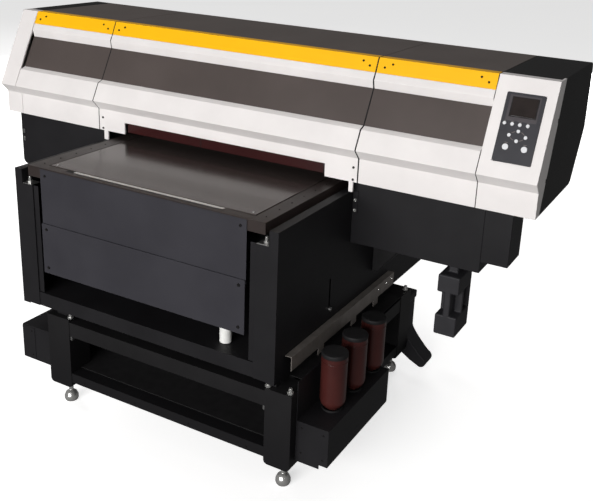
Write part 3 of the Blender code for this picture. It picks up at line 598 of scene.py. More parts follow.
@dataclass
class Workshop:
    """Turns meshes into finished pieces: finish, body, and a line in the log."""

    frame: dict
    body_of: dict[str, str] = field(default_factory=dict)
    slot_of: dict[str, str] = field(default_factory=dict)
    count: int = 0
    merge_reach: float = 0.00002
    flat_angle: float = 0.6  # degrees under which two faces count as one
    sharp_angle: float = 35.0  # degrees above which an edge is shaded sharp

    def __post_init__(self) -> None:
        """Reads which body and slot each CAD node has."""
        record = self.frame["record"]
        for body, nodes in record["behaviour"]["bodies"].items():
            for node in nodes:
                self.body_of[node] = body
        for row in record["subparts"]:
            self.slot_of[row["node"]] = row["material_slot"]

    def piece(
        self, name: str, bm: Mesh, look: Look, like: str, replaces: bool = False
    ) -> None:
        """Makes a finished piece from a mesh.

        Args:
            name: The piece's name.
            bm: Its mesh in world coordinates; freed here.
            look: Its finish.
            like: CAD node whose body it takes.
            replaces: Whether it stands for that node.
        """
        mesh = bpy.data.meshes.new(name)
        bm.to_mesh(mesh)
        bm.free()
        mesh.shade_smooth()
        mesh.set_sharp_from_angle(angle=math.radians(self.sharp_angle))
        mesh.materials.append(look.material())
        item = bpy.data.objects.new(name, mesh)
        bpy.context.scene.collection.objects.link(item)
        weighted = item.modifiers.new("flat_faces_stay_flat", "WEIGHTED_NORMAL")
        weighted.keep_sharp = True
        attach(item, self.body_of[like])
        if replaces:
            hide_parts(like)
        self.count += 1
        LOG.info("%s: %d faces, rides on %s", name, len(mesh.polygons), self.body_of[like])

    def solid(self, node: str) -> Mesh:
        """Copies a CAD node's mesh, merged, with its flat faces made whole.

        Args:
            node: The CAD node.

        Returns:
            The copy.
        """
        bm = bmesh.new()
        bm.from_mesh(self.frame["nodes"][node].data)
        bmesh.ops.remove_doubles(bm, verts=bm.verts, dist=self.merge_reach)
        bmesh.ops.dissolve_limit(
            bm,
            angle_limit=math.radians(self.flat_angle),
            verts=bm.verts,
            edges=bm.edges,
            use_dissolve_boundaries=False,
        )
        return bm

    def rounded(
        self,
        node: str,
        look: Look,
        width: float,
        segments: int = 2,
        angle: float = 25.0,
        prepare: Callable[[Mesh], None] | None = None,
    ) -> None:
        """Replaces a CAD node with its own shape, edges rounded.

        Args:
            node: The CAD node.
            look: The finish.
            width: Width of the rounding.
            segments: Faces across the rounding.
            angle: Least angle that is rounded.
            prepare: Shapes the copy before its edges are rounded.
        """
        bm = self.solid(node)
        if prepare is not None:
            prepare(bm)
        round_edges(bm, width, segments, angle)
        self.piece(node + "_formed", bm, look, node, replaces=True)

    def screws(
        self, name: str, places: list[Point], out: Vector, radius: float, look: Look, like: str
    ) -> None:
        """Makes a set of socket screws that face one way.

        Args:
            name: The piece's name.
            places: Where each head meets its surface.
            out: Outward direction.
            radius: Radius of the heads.
            look: Their finish.
            like: CAD node that they hold.
        """
        bm = bmesh.new()
        for place in places:
            add_socket_screw(bm, place, out, radius)
        self.piece(name, bm, look, like)

    def front_screws(
        self,
        name: str,
        node: str,
        insets: Span,
        heights: tuple[float, ...],
        radius: float,
        back: float = 0.0,
    ) -> None:
        """Makes black screws in two columns on a node's front.

        Args:
            name: The piece's name.
            node: CAD node that they hold.
            insets: Distance of the columns from the node's low and high end in X.
            heights: Height of each row.
            radius: Radius of the heads.
            back: How far the surface lies behind the node's foremost point.
        """
        low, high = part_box(node)
        columns = (low.x + insets[0], high.x - insets[1])
        places = [(across, low.y + back, height) for across in columns for height in heights]
        self.screws(name, places, FRONT, radius, Look.BLACK_OXIDE, node)

    def blocks(
        self,
        name: str,
        boxes: list[Box],
        look: Look,
        like: str,
        width: float = 0.0005,
    ) -> None:
        """Makes a set of boxes with rounded edges.

        Args:
            name: The piece's name.
            boxes: The two ends of each along each axis.
            look: Their finish.
            like: CAD node that they sit on.
            width: Width of the rounding.
        """
        bm = bmesh.new()
        for box in boxes:
            add_block(bm, box)
        round_edges(bm, width)
        self.piece(name, bm, look, like)


@dataclass
class LiftingCovers:
    """The three covers that lift, with their strips, windows, screws and the lamp shield."""

    shop: Workshop
    edging_widths: Span = (0.0034, 0.0013)  # dark strips of painted seam shade: middle cover's ends, right cover's end
    edging_shift: Point = (0.0013, -0.0004, 0.0003)
    strip_fold: float = 0.021  # depth of the strip's flat top
    strip_screws: tuple[Span, ...] = ((0.052, 0.34), (0.026, 0.60))  # from the end, share down
    strip_screw_radius: float = 0.0042
    chin_insets: Span = (0.020, 0.017)
    chin_heights: Span = (0.968, 0.926)
    chin_depth: float = 0.032
    chin_screw_radius: float = 0.0046
    slit_starts: Span = (0.038, -0.050)  # from the low and from the high end
    slit_width: float = 0.026
    slit_depth: Span = (0.1123, 0.1165)
    slit_z: Span = (1.2535, 1.2575)
    shield_seam_x: float = -0.135
    shield_gap: float = 0.0015
    clamp_height: float = 0.014
    clamp_depth: float = 0.004

    def build(self) -> None:
        """Builds and dresses every cover."""
        for side in ("left", "front", "right"):
            self.build_cover(side)
        middle_width, end_width = self.edging_widths
        self.build_edging("front", -1, middle_width)
        self.build_edging("front", 1, middle_width)
        self.build_edging("right", 1, end_width)
        self.dress_middle()
        self.build_shield()

    def build_edging(self, side: str, end: int, width: float) -> None:
        """Builds a dark strip of painted shade in the seam at one end of a cover.

        Args:
            side: left, front or right.
            end: -1 for the end at low X, 1 for the one at high X.
            width: Width of the dark strip along X.
        """
        # Black slices of the cover's end, pushed out into the seam's gap, paint the shade inside
        # the seam.
        seam_shade = bmesh.new()
        shift_x, shift_y, shift_z = self.edging_shift
        for part in ("shell", "strip", "window"):
            node = side + "_cover_" + part
            bm = self.shop.solid(node)
            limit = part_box(node)[0 if end < 0 else 1].x
            bmesh.ops.bisect_plane(
                bm,
                geom=bm.verts[:] + bm.edges[:] + bm.faces[:],
                plane_co=(limit - end * width, 0.0, 0.0),
                plane_no=(end, 0.0, 0.0),
                clear_inner=True,
            )
            bmesh.ops.holes_fill(bm, edges=[e for e in bm.edges if e.is_boundary], sides=0)
            bmesh.ops.translate(bm, verts=bm.verts, vec=(end * shift_x, shift_y, shift_z))
            bmesh.ops.recalc_face_normals(bm, faces=bm.faces)
            carrier = bpy.data.meshes.new(node + "_slice")
            bm.to_mesh(carrier)
            bm.free()
            seam_shade.from_mesh(carrier)
            bpy.data.meshes.remove(carrier)
        name = side + "_cover_seam_shade_" + ("low" if end < 0 else "high")
        self.shop.piece(name, seam_shade, Look.SOFT_BLACK, side + "_cover_shell")

    def build_cover(self, side: str) -> None:
        """Builds one cover.

        Args:
            side: left, front or right.
        """
        prefix = side + "_cover_"
        self.shop.rounded(prefix + "shell", Look.WHITE_ABS, 0.0014, 3, 18.0)
        self.shop.rounded(prefix + "window", Look.SMOKED_WINDOW, 0.0006)
        self.shop.rounded(prefix + "strip", Look.YELLOW_ENAMEL, 0.0007)
        low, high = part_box(prefix + "strip")
        top = Vector((0.0, low.y + self.strip_fold, high.z))
        foot = Vector((0.0, low.y, low.z))
        out = Vector((0.0, foot.z - top.z, top.y - foot.y))
        places = []
        for end, inward in ((low.x, 1.0), (high.x, -1.0)):
            for along, down in self.strip_screws:
                spot = top.lerp(foot, down)
                places.append((end + inward * along, spot.y, spot.z))
        self.shop.screws(
            prefix + "strip_screws",
            places,
            out,
            self.strip_screw_radius,
            Look.BLACK_OXIDE,
            prefix + "strip",
        )

    def dress_middle(self) -> None:
        """Adds the middle cover's chin screws and the slits under its strip."""
        node = "front_cover_shell"
        self.shop.front_screws(
            "front_cover_chin_screws",
            node,
            self.chin_insets,
            self.chin_heights,
            self.chin_screw_radius,
            self.chin_depth,
        )
        low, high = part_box(node)
        depth = moved(self.slit_depth, low.y)
        slits = [
            ((start, start + self.slit_width), depth, self.slit_z)
            for start in (low.x + self.slit_starts[0], high.x + self.slit_starts[1])
        ]
        self.shop.blocks("front_cover_slits", slits, Look.SOFT_BLACK, node)

    def build_shield(self) -> None:
        """Builds the lamp shield as two acrylic panes with a clamp bar."""
        low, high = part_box("uv_shield")
        near, far = self.shield_seam_x - self.shield_gap, self.shield_seam_x + self.shield_gap
        for side, span in (("left", (low.x, near)), ("right", (far, high.x))):
            bm = bmesh.new()
            add_block(bm, (span, (low.y, high.y), (low.z, high.z)))
            round_edges(bm, 0.0006)
            name = "uv_shield_pane_" + side
            self.shop.piece(name, bm, Look.UV_ACRYLIC, "uv_shield", replaces=side == "left")
        depth = moved((0.0, self.clamp_depth), high.y)
        bar = ((low.x, high.x), depth, (high.z - self.clamp_height, high.z))
        self.shop.blocks("uv_shield_clamp_bar", [bar], Look.ZINC_STEEL, "uv_shield")


@dataclass
class GantryBody:
    """Roof, back, ends and underside covers of the gantry, and what is inside it."""

    shop: Workshop
    notch_z: tuple[float, ...] = (1.190, 1.015)
    notch_height: float = 0.013
    notch_y: Span = (-0.006, 0.004)  # from the band's back edge
    notch_reach: Span = (0.0003, 0.004)  # out of and into the end face
    band_top: Span = (-0.025, 1.320)
    band_foot: Span = (-0.163, 0.917)
    back_screw_z: Span = (1.280, 1.110)
    back_screw_inset: float = 0.03
    back_screw_pitch: float = 0.22
    corner_radius: float = 0.022
    clip_x: Span = (0.010, 0.019)
    clip_z: Span = (0.792, 0.824)
    clip_height: float = 0.018
    tab_z: Span = (0.800, 0.880)
    tab_screw_z: Span = (0.812, 0.848)
    block_bolt_offset: Span = (-0.012, 0.012)
    lamp_starts: Span = (0.010, -0.065)  # from the carriage's low and high end
    lamp_width: float = 0.055
    head_start: float = 0.085
    head_pitch: float = 0.046
    head_width: float = 0.034

    def build(self) -> None:
        """Builds and dresses the gantry's body."""
        for part in ("left", "middle", "right"):
            self.shop.rounded("rear_cover_" + part, Look.ROOF_POWDER, 0.0009)
        for side in ("left", "right"):
            self.shop.rounded("side_cover_" + side, Look.SIDE_POWDER, 0.0012)
        self.shop.rounded("left_end_cap", Look.WHITE_ABS, 0.0020, 3, 18.0)
        self.shop.rounded("control_module", Look.WHITE_ABS, 0.0016, 3, 18.0)
        self.dress_band()
        self.dress_back()
        self.build_lower_covers()
        self.build_block()
        self.build_inside()

    def band_back_y(self, height: float) -> float:
        """Returns where the white side band ends at a height."""
        share = (self.band_top[1] - height) / (self.band_top[1] - self.band_foot[1])
        return self.band_top[0] + share * (self.band_foot[0] - self.band_top[0])

    def dress_band(self) -> None:
        """Adds the dark latch notches in the back edge of each white side band."""
        for name, node, face in (
            ("right", "control_module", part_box("control_module")[1].x),
            ("left", "left_end_cap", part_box("left_end_cap")[0].x),
        ):
            side = 1.0 if face > 0 else -1.0
            out, into = self.notch_reach
            near, far = sorted((face + side * out, face - side * into))
            notches = [
                ((near, far), moved(self.notch_y, self.band_back_y(z)), (z, z + self.notch_height))
                for z in self.notch_z
            ]
            self.shop.blocks("band_notches_" + name, notches, Look.SOFT_BLACK, node)

    def dress_back(self) -> None:
        """Adds screws along the back skin's upper and lower edges."""
        for part in ("left", "middle", "right"):
            node = "rear_cover_" + part
            low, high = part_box(node)
            count = max(3, round((high.x - low.x) / self.back_screw_pitch))
            step = (high.x - low.x - 2 * self.back_screw_inset) / (count - 1)
            places = [
                (low.x + self.back_screw_inset + index * step, high.y, height)
                for index in range(count)
                for height in self.back_screw_z
            ]
            self.shop.screws(node + "_screws", places, BACK, 0.0040, Look.BLACK_OXIDE, node)

    def build_lower_covers(self) -> None:
        """Builds the covers under the gantry's ends, with their clips and bracket."""
        node = "lower_cover_left"
        low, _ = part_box(node)
        self.shop.rounded(
            node,
            Look.CHARCOAL_POWDER,
            0.0010,
            prepare=lambda bm: soften(
                bm, lambda at: math.hypot(at.x - low.x, at.z - low.z), self.corner_radius
            ),
        )
        for part in ("right", "end"):
            self.shop.rounded("lower_cover_" + part, Look.CHARCOAL_POWDER, 0.0012)
        across, depth = moved(self.clip_x, low.x), moved((-0.004, 0.001), low.y)
        clips = [(across, depth, (foot, foot + self.clip_height)) for foot in self.clip_z]
        self.shop.blocks("lower_cover_clips", clips, Look.ZINC_STEEL, node, 0.0018)
        node = "lower_cover_right"
        low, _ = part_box(node)
        face_y = low.y - 0.003
        tab = (moved((0.003, 0.021), low.x), (face_y, low.y), self.tab_z)
        self.shop.blocks("tab_bracket", [tab], Look.CHARCOAL_POWDER, node, 0.001)
        places = [(low.x + 0.012, face_y, height) for height in self.tab_screw_z]
        self.shop.screws("tab_bracket_screws", places, FRONT, 0.0062, Look.CHROME, node)

    def build_block(self) -> None:
        """Builds the support block with its bolt, and the mount beside it."""
        self.shop.rounded("support_block", Look.BLACK_MOULDING, 0.0055, 4, 30.0)
        centre_x, centre_y = plan_centre("support_block")
        centre = (centre_x + self.block_bolt_offset[0], centre_y + self.block_bolt_offset[1])
        bm = bmesh.new()
        add_stud(bm, centre, (0.662, 0.668, 0.689), (0.011, 0.006))
        self.shop.piece("support_block_bolt", bm, Look.CHROME, "support_block")
        self.shop.rounded("gantry_mount", Look.SOFT_BLACK, 0.004, 3)

    def build_inside(self) -> None:
        """Builds the beam and the print carriage with its heads and lamps."""
        node = "print_carriage"
        self.shop.rounded("gantry_beam", Look.INNER_PAINT, 0.002)
        self.shop.rounded(node, Look.BLACK_MOULDING, 0.003)
        low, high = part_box(node)
        depth, rise = (low.y + 0.02, high.y - 0.02), (low.z + 0.06, high.z + 0.02)
        lamps = [
            ((start, start + self.lamp_width), depth, rise)
            for start in (low.x + self.lamp_starts[0], high.x + self.lamp_starts[1])
        ]
        self.shop.blocks("carriage_lamps", lamps, Look.ZINC_STEEL, node, 0.004)
        depth, rise = (low.y + 0.03, high.y - 0.03), (low.z + 0.05, high.z - 0.03)
        first = low.x + self.head_start
        heads = [
            (moved((0.0, self.head_width), first + index * self.head_pitch), depth, rise)
            for index in range(3)
        ]
        self.shop.blocks("carriage_heads", heads, Look.INNER_PAINT, node, 0.003)


@dataclass
class ControlPanel:
    """Bezel, screen, key caps and the ring that joins the arrow keys."""

    shop: Workshop
    node: str = "control_bezel"
    width: float = 0.119
    height: float = 0.216
    lean: float = 26.5  # degrees between the face and upright
    face_above: float = 0.004  # from the middle of the bezel's box
    corner_radius: float = 0.006
    line_radius: float = 0.0008
    # Places on the panel are shares of its width and height from the upper left corner
    legends: tuple[Point, ...] = (  # across, down, width
        (0.107, 0.418, 0.050),
        (0.307, 0.418, 0.070),
        (0.507, 0.418, 0.070),
        (0.707, 0.418, 0.070),
        (0.268, 0.722, 0.085),
        (0.754, 0.722, 0.085),
    )
    ring_centre: Span = (0.507, 0.615)
    ring_radii: Span = (0.1875, 0.0667)
    ring_steps: int = 48
    ring_gap: float = 0.0085  # metres kept free around each arrow key
    arrows: tuple[Span, ...] = ((0.506, 0.544), (0.293, 0.612), (0.721, 0.618), (0.510, 0.685))

    def __post_init__(self) -> None:
        """Works out the plane of the slanted face from the bezel's box."""
        low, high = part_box(self.node)
        slope = math.radians(self.lean)
        self.right = RIGHT
        self.up = Vector((0.0, math.sin(slope), math.cos(slope)))
        self.out = self.right.cross(self.up)
        self.middle = Vector((low + high) / 2) + self.out * self.face_above

    def at(self, across: float, down: float, above: float = 0.0) -> Vector:
        """Returns a point on the panel by its share across and down, and its height above."""
        offset = self.right * (across - 0.5) * self.width + self.up * (0.5 - down) * self.height
        return self.middle + offset + self.out * above

    def build(self) -> None:
        """Builds and dresses the panel."""
        self.shop.rounded(self.node, Look.BEZEL, 0.0012, 2, 60.0, self.round_corners)
        for name, look, width, across, down, heights in (
            ("panel_membrane", Look.MEMBRANE, 0.0003, (0.10, 0.90), (0.035, 0.405), (-MM, 0.0004)),
            (
                "lcd_frame", Look.SOFT_BLACK, 0.0006, (0.165, 0.865), (0.058, 0.352),
                (-0.0005, 0.0012),
            ),
            ("lcd_glass_pane", Look.LCD, 0.0004, (0.19, 0.84), (0.068, 0.340), (0.0, 0.0017)),
        ):
            bm = self.plate(across, down, heights)
            round_edges(bm, width)
            self.shop.piece(name, bm, look, self.node)
        for node in sorted(self.shop.body_of):
            if node.startswith("key_"):
                self.shop.rounded(node, Look.KEY, 0.0009, 3, 50.0)
        self.build_ring()
        self.build_legends()

    def plate(self, across: Span, down: Span, heights: Span) -> Mesh:
        """Builds a plate on the panel.

        Args:
            across: Its two sides, as shares of the panel's width.
            down: Its top and bottom, as shares of the panel's height.
            heights: Height of its underside and of its face above the bezel.

        Returns:
            The mesh.
        """
        size = Vector((
            (across[1] - across[0]) * self.width,
            (down[1] - down[0]) * self.height,
            heights[1] - heights[0],
        ))
        turn = Matrix((self.right, self.up, self.out)).transposed().to_4x4()
        centre = self.at(sum(across) / 2, sum(down) / 2, sum(heights) / 2)
        bm = bmesh.new()
        place = Matrix.Translation(centre) @ turn @ Matrix.Diagonal(size).to_4x4()
        bmesh.ops.create_cube(bm, size=1.0, matrix=place)
        return bm

    def round_corners(self, bm: Mesh) -> None:
        """Rounds the bezel's four corners.

        Args:
            bm: The bezel's mesh.
        """
        edges = []
        for edge in bm.edges:
            start, end = (v.co for v in edge.verts)
            offset = (start + end) / 2 - self.middle
            across = abs(offset.dot(self.right)) / self.width
            down = abs(offset.dot(self.up)) / self.height
            outward = abs((end - start).normalized().dot(self.out)) > 0.99
            if outward and min(across, down) > 0.45:
                edges.append(edge)
        bevel_edges(bm, edges, self.corner_radius, 5)

    def add_line(self, bm: Mesh, start: Span, end: Span, sink: float) -> None:
        """Adds a fine raised line whose middle lies a little under the face."""
        add_rod(bm, self.at(*start, -sink), self.at(*end, -sink), self.line_radius, 8)

    def build_legends(self) -> None:
        """Builds the plain bars printed over the function keys and the big keys."""
        bm = bmesh.new()
        for across, down, wide in self.legends:
            self.add_line(bm, (across - wide / 2, down), (across + wide / 2, down), 0.0003)
        self.shop.piece("key_legends", bm, Look.LEGEND, self.node)

    def ring_point(self, step: int) -> Span:
        """Returns one corner of the ring, as shares across and down."""
        angle = math.tau * step / self.ring_steps
        return (
            self.ring_centre[0] + self.ring_radii[0] * math.cos(angle),
            self.ring_centre[1] + self.ring_radii[1] * math.sin(angle),
        )

    def build_ring(self) -> None:
        """Builds the fine raised ring that joins the four arrow keys."""
        bm = bmesh.new()
        for index in range(self.ring_steps):
            start, end = self.ring_point(index), self.ring_point(index + 1)
            middle = ((start[0] + end[0]) / 2, (start[1] + end[1]) / 2)
            nearest = min(
                math.hypot((middle[0] - a) * self.width, (middle[1] - d) * self.height)
                for a, d in self.arrows
            )
            if nearest > self.ring_gap:
                self.add_line(bm, start, end, 0.0002)
        self.shop.piece("arrow_ring", bm, Look.LEGEND, self.node)


@dataclass
class TableHousing:
    """Folded housing walls, pan, fixed front panel and fittings."""

    shop: Workshop
    shelf_reach: Span = (0.075, 0.034)  # from the wall's outer face
    shelf_y: Span = (0.001, 0.040)  # from the wall's front
    shelf_z: Span = (0.8292, 0.8322)
    stub_shift: float = 0.004  # outwards from the shelf's middle
    stub_y: float = 0.018
    peg_y: float = -0.307
    peg_z: float = 0.4940
    latch_x: Span = (-0.0260, -0.0235)  # from the wall's outer face
    latch_y: Span = (-0.3265, -0.2875)
    latch_z: Span = (0.495, 0.615)
    rail_screw_y: Point = (0.02, 0.07, 0.14)  # from the rail's back end
    rail_screw_z: float = 0.436

    def build(self) -> None:
        """Builds and dresses the housing."""
        for node, look, width in (
            ("housing_wall_left", Look.CHARCOAL_POWDER, 0.0008),
            ("housing_wall_right", Look.CHARCOAL_POWDER, 0.0008),
            ("housing_pan", Look.CHARCOAL_POWDER, 0.0008),
            ("housing_rear_panel", Look.CHARCOAL_POWDER, 0.0006),
            ("lower_front_panel", Look.PANEL_POWDER, 0.0009),
            ("side_rail", Look.RAIL_PLATE, 0.0006),
        ):
            self.shop.rounded(node, look, width)
        self.build_post()
        self.dress_panel()
        self.dress_flanges()
        self.dress_right_wall()

    def build_post(self) -> None:
        """Builds the turned stop post with its rounded top."""
        node = "lift_stop_post"
        low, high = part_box(node)
        centre = plan_centre(node)
        bm = bmesh.new()
        add_rod(bm, (*centre, low.z), (*centre, high.z), (high.x - low.x) / 2, 40)
        round_edges(bm, 0.003, 3, 60.0)
        self.shop.piece(node + "_turned", bm, Look.ACETAL, node, replaces=True)

    def dress_panel(self) -> None:
        """Adds the fixed panel's screws."""
        node = "lower_front_panel"
        low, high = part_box(node)
        heights = (low.z + 0.022, high.z - 0.020)
        self.shop.front_screws("lower_panel_screws", node, (0.022, 0.022), heights, 0.0058)

    def dress_flanges(self) -> None:
        """Adds the plated shelf and stub on top of each front flange."""
        for side, sign in (("left", -1.0), ("right", 1.0)):
            node = "housing_wall_" + side
            low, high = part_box(node)
            outer = high.x if sign > 0 else low.x
            near, far = sorted(outer - sign * reach for reach in self.shelf_reach)
            shelf = ((near, far), moved(self.shelf_y, low.y), self.shelf_z)
            self.shop.blocks("flange_shelf_" + side, [shelf], Look.ZINC_STEEL, node, 0.0006)
            centre = ((near + far) / 2 + sign * self.stub_shift, low.y + self.stub_y)
            bm = bmesh.new()
            add_stud(bm, centre, (0.832, 0.838, 0.853), (0.009, 0.005), 24)
            round_edges(bm, 0.0008, 2, 50.0)
            self.shop.piece("flange_stub_" + side, bm, Look.CHROME, node)

    def dress_right_wall(self) -> None:
        """Adds the slot's latch, the peg under it and the rail's screws."""
        wall = "housing_wall_right"
        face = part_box(wall)[1].x
        bm = bmesh.new()
        start, end = ((across, self.peg_y, self.peg_z) for across in (face - MM, face + 0.007))
        add_rod(bm, start, end, 0.0075)
        round_edges(bm, 0.0012, 2, 50.0)
        self.shop.piece("wall_peg", bm, Look.ZINC_STEEL, wall)
        latch = (moved(self.latch_x, face), self.latch_y, self.latch_z)
        self.shop.blocks("wall_slot_latch", [latch], Look.SOFT_BLACK, wall)
        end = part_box("side_rail")[1]
        places = [(end.x, end.y - inset, self.rail_screw_z) for inset in self.rail_screw_y]
        self.shop.screws("side_rail_screws", places, RIGHT, 0.0042, Look.CHROME, "side_rail")


@dataclass
class LiftAndTable:
    """Table surround, moving front panel, feed rails, table plate and its carriage."""

    shop: Workshop
    strip_x: Span = (-0.346, 0.258)
    strip_start: float = 0.0225  # from the surround's front
    strip_depth: float = 0.0140
    slot_length: float = 0.032
    trim_depth: float = 0.0060
    trim_past: float = 0.006  # how far the trim runs on past the strip
    gap: float = 0.0006
    rim_screws: int = 9
    rim_start: float = 0.045
    rim_pitch: float = 0.075
    rim_shift: float = 0.004  # of the right row, outwards

    def build(self) -> None:
        """Builds and dresses the lift and the table."""
        for node, look, width, segments in (
            ("lift_frame", Look.INNER_PAINT, 0.002, 2),
            ("upper_front_panel", Look.PANEL_POWDER, 0.0009, 2),
            ("table_surround", Look.SURROUND_PAINT, 0.0010, 3),
            ("feed_rail_left", Look.GROUND_STEEL, 0.002, 3),
            ("feed_rail_right", Look.GROUND_STEEL, 0.002, 3),
            ("table_plate", Look.ANODISED_TABLE, 0.0010, 3),
            ("table_carriage", Look.ZINC_STEEL, 0.001, 2),
        ):
            self.shop.rounded(node, look, width, segments)
        self.dress_surround()
        self.dress_plate()
        self.dress_panel()

    def dress_surround(self) -> None:
        """Adds the polished datum strip with its end slot and trim, and the rims' screws."""
        node = "table_surround"
        low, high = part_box(node)
        start, end = self.strip_x
        slot = (start - self.slot_length, start - self.gap)
        trim = (slot[0], end + self.trim_past)
        front = low.y + self.strip_start
        along = (front, front + self.strip_depth)
        before = (front - self.trim_depth, front - self.gap)
        for name, look, width, across, depth, heights in (
            ("datum_strip", Look.CHROME, 0.0004, (start, end), along, (-0.002, 0.0005)),
            ("datum_end_slot", Look.SOFT_BLACK, 0.0003, slot, along, (-0.002, 0.0003)),
            ("datum_trim", Look.BLACK_MOULDING, 0.0003, trim, before, (-0.001, 0.0004)),
        ):
            self.shop.blocks(name, [(across, depth, moved(heights, high.z))], look, node, width)
        plate_low, plate_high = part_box("table_plate")
        rims = ((low.x + plate_low.x) / 2, (high.x + plate_high.x) / 2 + self.rim_shift)
        places = [
            (across, low.y + self.rim_start + index * self.rim_pitch, high.z)
            for across in rims
            for index in range(self.rim_screws)
        ]
        self.shop.screws("surround_screws", places, UP, 0.0030, Look.BLACK_OXIDE, node)

    def dress_plate(self) -> None:
        """Adds the plate's corner screws."""
        node = "table_plate"
        low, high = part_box(node)
        places = [
            (across, along, high.z - 0.0004)
            for across in (low.x + 0.018, high.x - 0.018)
            for along in (low.y + 0.016, high.y - 0.016)
        ]
        self.shop.screws("table_plate_screws", places, UP, 0.0038, Look.ZINC_STEEL, node)

    def dress_panel(self) -> None:
        """Adds the moving front panel's screws."""
        node = "upper_front_panel"
        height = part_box(node)[1].z - 0.022
        self.shop.front_screws("upper_panel_screws", node, (0.022, 0.022), (height,), 0.0050)


@dataclass
class BaseAndInk:
    """Base frame, levelling feet, ink tray with bottles, electrical box and stabiliser."""

    shop: Workshop
    frame_radius: float = 0.014
    bottle_base: float = 0.016
    bead_below: float = 0.030  # the bottle's bead, from its base
    bead_half: float = 0.0022
    collar_z: Span = (0.2600, 0.2665)
    sheets: tuple[Box, ...] = (  # dark sheets that paint the shade under the base and under the side rail: floor sheet, side shelf, its lip
        ((-0.400, 0.470), (-0.600, 0.230), (0.1428, 0.1453)),
        ((0.4728, 0.538), (-0.545, 0.178), (0.3562, 0.3590)),
        ((0.4700, 0.4725), (-0.600, 0.230), (0.3562, 0.3750)),
    )
    bolt_x: Point = (-0.375, 0.447, 0.527)
    bolt_z: Point = (0.3562, 0.3640, 0.3752)
    beam_screw_start: float = 0.16
    beam_screw_pitch: float = 0.230
    beam_screw_z: float = 0.118
    lug_insets: Span = (0.106, 0.101)
    lug_z: Span = (0.276, 0.2915)
    tray_top: float = 0.255
    seat_radius: float = 0.034
    seat_height: float = 0.006
    seat_wall: float = 0.0035
    lid_lift: float = 0.0018
    louvre_count: int = 6
    louvre_start: float = 0.030
    louvre_pitch: float = 0.014

    def build(self) -> None:
        """Builds and dresses everything under the housing."""
        low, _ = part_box("base_frame")
        self.shop.rounded(
            "base_frame",
            Look.FRAME_POWDER,
            0.0030,
            3,
            prepare=lambda bm: soften(bm, lambda at: abs(at.z - low.z), self.frame_radius, 4),
        )
        self.shop.rounded("ink_tray", Look.CHARCOAL_POWDER, 0.0012)
        self.shop.rounded("electrical_box", Look.CHARCOAL_POWDER, 0.0016)
        self.shop.rounded("rear_stabiliser", Look.BLACK_MOULDING, 0.0080, 4, 40.0)
        for node in sorted(self.shop.body_of):
            if node.startswith("levelling_foot_"):
                self.build_foot(node)
            if node.startswith("ink_bottle_"):
                self.build_bottle(node)
        self.dress_frame()
        self.dress_tray()
        self.dress_box()

    def build_foot(self, node: str) -> None:
        """Builds one levelling foot with its lock nut.

        Args:
            node: The CAD foot.
        """
        self.shop.rounded(node, Look.CHROME, 0.0010, 2, 30.0)
        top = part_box(node)[1].z
        centre = plan_centre(node)
        bm = bmesh.new()
        add_rod(bm, (*centre, top - 0.010), (*centre, top - 0.0003), 0.0145, 6)
        round_edges(bm, 0.0010, 2, 50.0)
        self.shop.piece(node + "_nut", bm, Look.CHROME, node)

    def build_bottle(self, node: str) -> None:
        """Builds one upturned bottle with its black base, collar and bead.

        Args:
            node: The CAD bottle.
        """
        self.shop.rounded(node, Look.INK_BOTTLE, 0.0012, 2, 40.0)
        low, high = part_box(node)
        centre = plan_centre(node)
        radius = (high.x - low.x) / 2
        cap = bmesh.new()
        foot, top = high.z - self.bottle_base, high.z + 0.0006
        add_rod(cap, (*centre, foot), (*centre, top), radius + 0.0006, 48)
        round_edges(cap, 0.0050, 4, 60.0)
        self.shop.piece(node + "_base_cap", cap, Look.SOFT_BLACK, node)
        ring = bmesh.new()
        add_rod(ring, (*centre, self.collar_z[0]), (*centre, self.collar_z[1]), 0.0235, 40)
        bead = high.z - self.bead_below
        foot, top = bead - self.bead_half, bead + self.bead_half
        add_rod(ring, (*centre, foot), (*centre, top), radius + 0.0011, 48)
        round_edges(ring, 0.0010, 3, 50.0)
        self.shop.piece(node + "_collar", ring, Look.INK_BOTTLE, node)

    def dress_frame(self) -> None:
        """Adds dark sheets of painted shade under the base and the side rail, the housing's plated
        bolts, and the beam's screws and lugs.
        """
        node = "base_frame"
        low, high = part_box(node)
        # These dark sheets stand in for shade: they darken the floor seen through the base and the
        # space under the side rail.
        self.shop.blocks("base_shade_sheets", list(self.sheets), Look.SOFT_BLACK, node, 0.0006)
        bm = bmesh.new()
        for across in self.bolt_x:
            for along in (-0.636, high.y - 0.030):
                add_stud(bm, (across, along), self.bolt_z, (0.0105, 0.0062))
        round_edges(bm, 0.0007, 2, 50.0)
        self.shop.piece("housing_bolts", bm, Look.CHROME, node)
        first = low.x + self.beam_screw_start
        places = [
            (first + index * self.beam_screw_pitch, low.y + 0.002, self.beam_screw_z)
            for index in range(4)
        ]
        self.shop.screws("beam_screws", places, FRONT, 0.0036, Look.BLACK_OXIDE, node)
        left, right = self.lug_insets
        for side, across in (("left", low.x + left), ("right", high.x - right)):
            lug = (moved((-0.004, 0.004), across), moved((0.0035, 0.020), low.y), self.lug_z)
            self.shop.blocks("beam_lug_" + side, [lug], Look.ZINC_STEEL, node, 0.001)

    def add_seat(self, bm: Mesh, centre: Span) -> None:
        """Adds the wall of one bottle's seat to a mesh, as a sheet without thickness.

        Args:
            bm: The mesh to add to.
            centre: The bottle's place in X and Y.
        """
        place = Matrix.Translation((*centre, self.tray_top))
        ring = bmesh.ops.create_circle(
            bm, cap_ends=False, segments=40, radius=self.seat_radius, matrix=place
        )
        edges = list({e for v in ring["verts"] for e in v.link_edges})
        rise = bmesh.ops.extrude_edge_only(bm, edges=edges)
        moved = [g for g in rise["geom"] if isinstance(g, bmesh.types.BMVert)]
        bmesh.ops.translate(bm, verts=moved, vec=UP * self.seat_height)

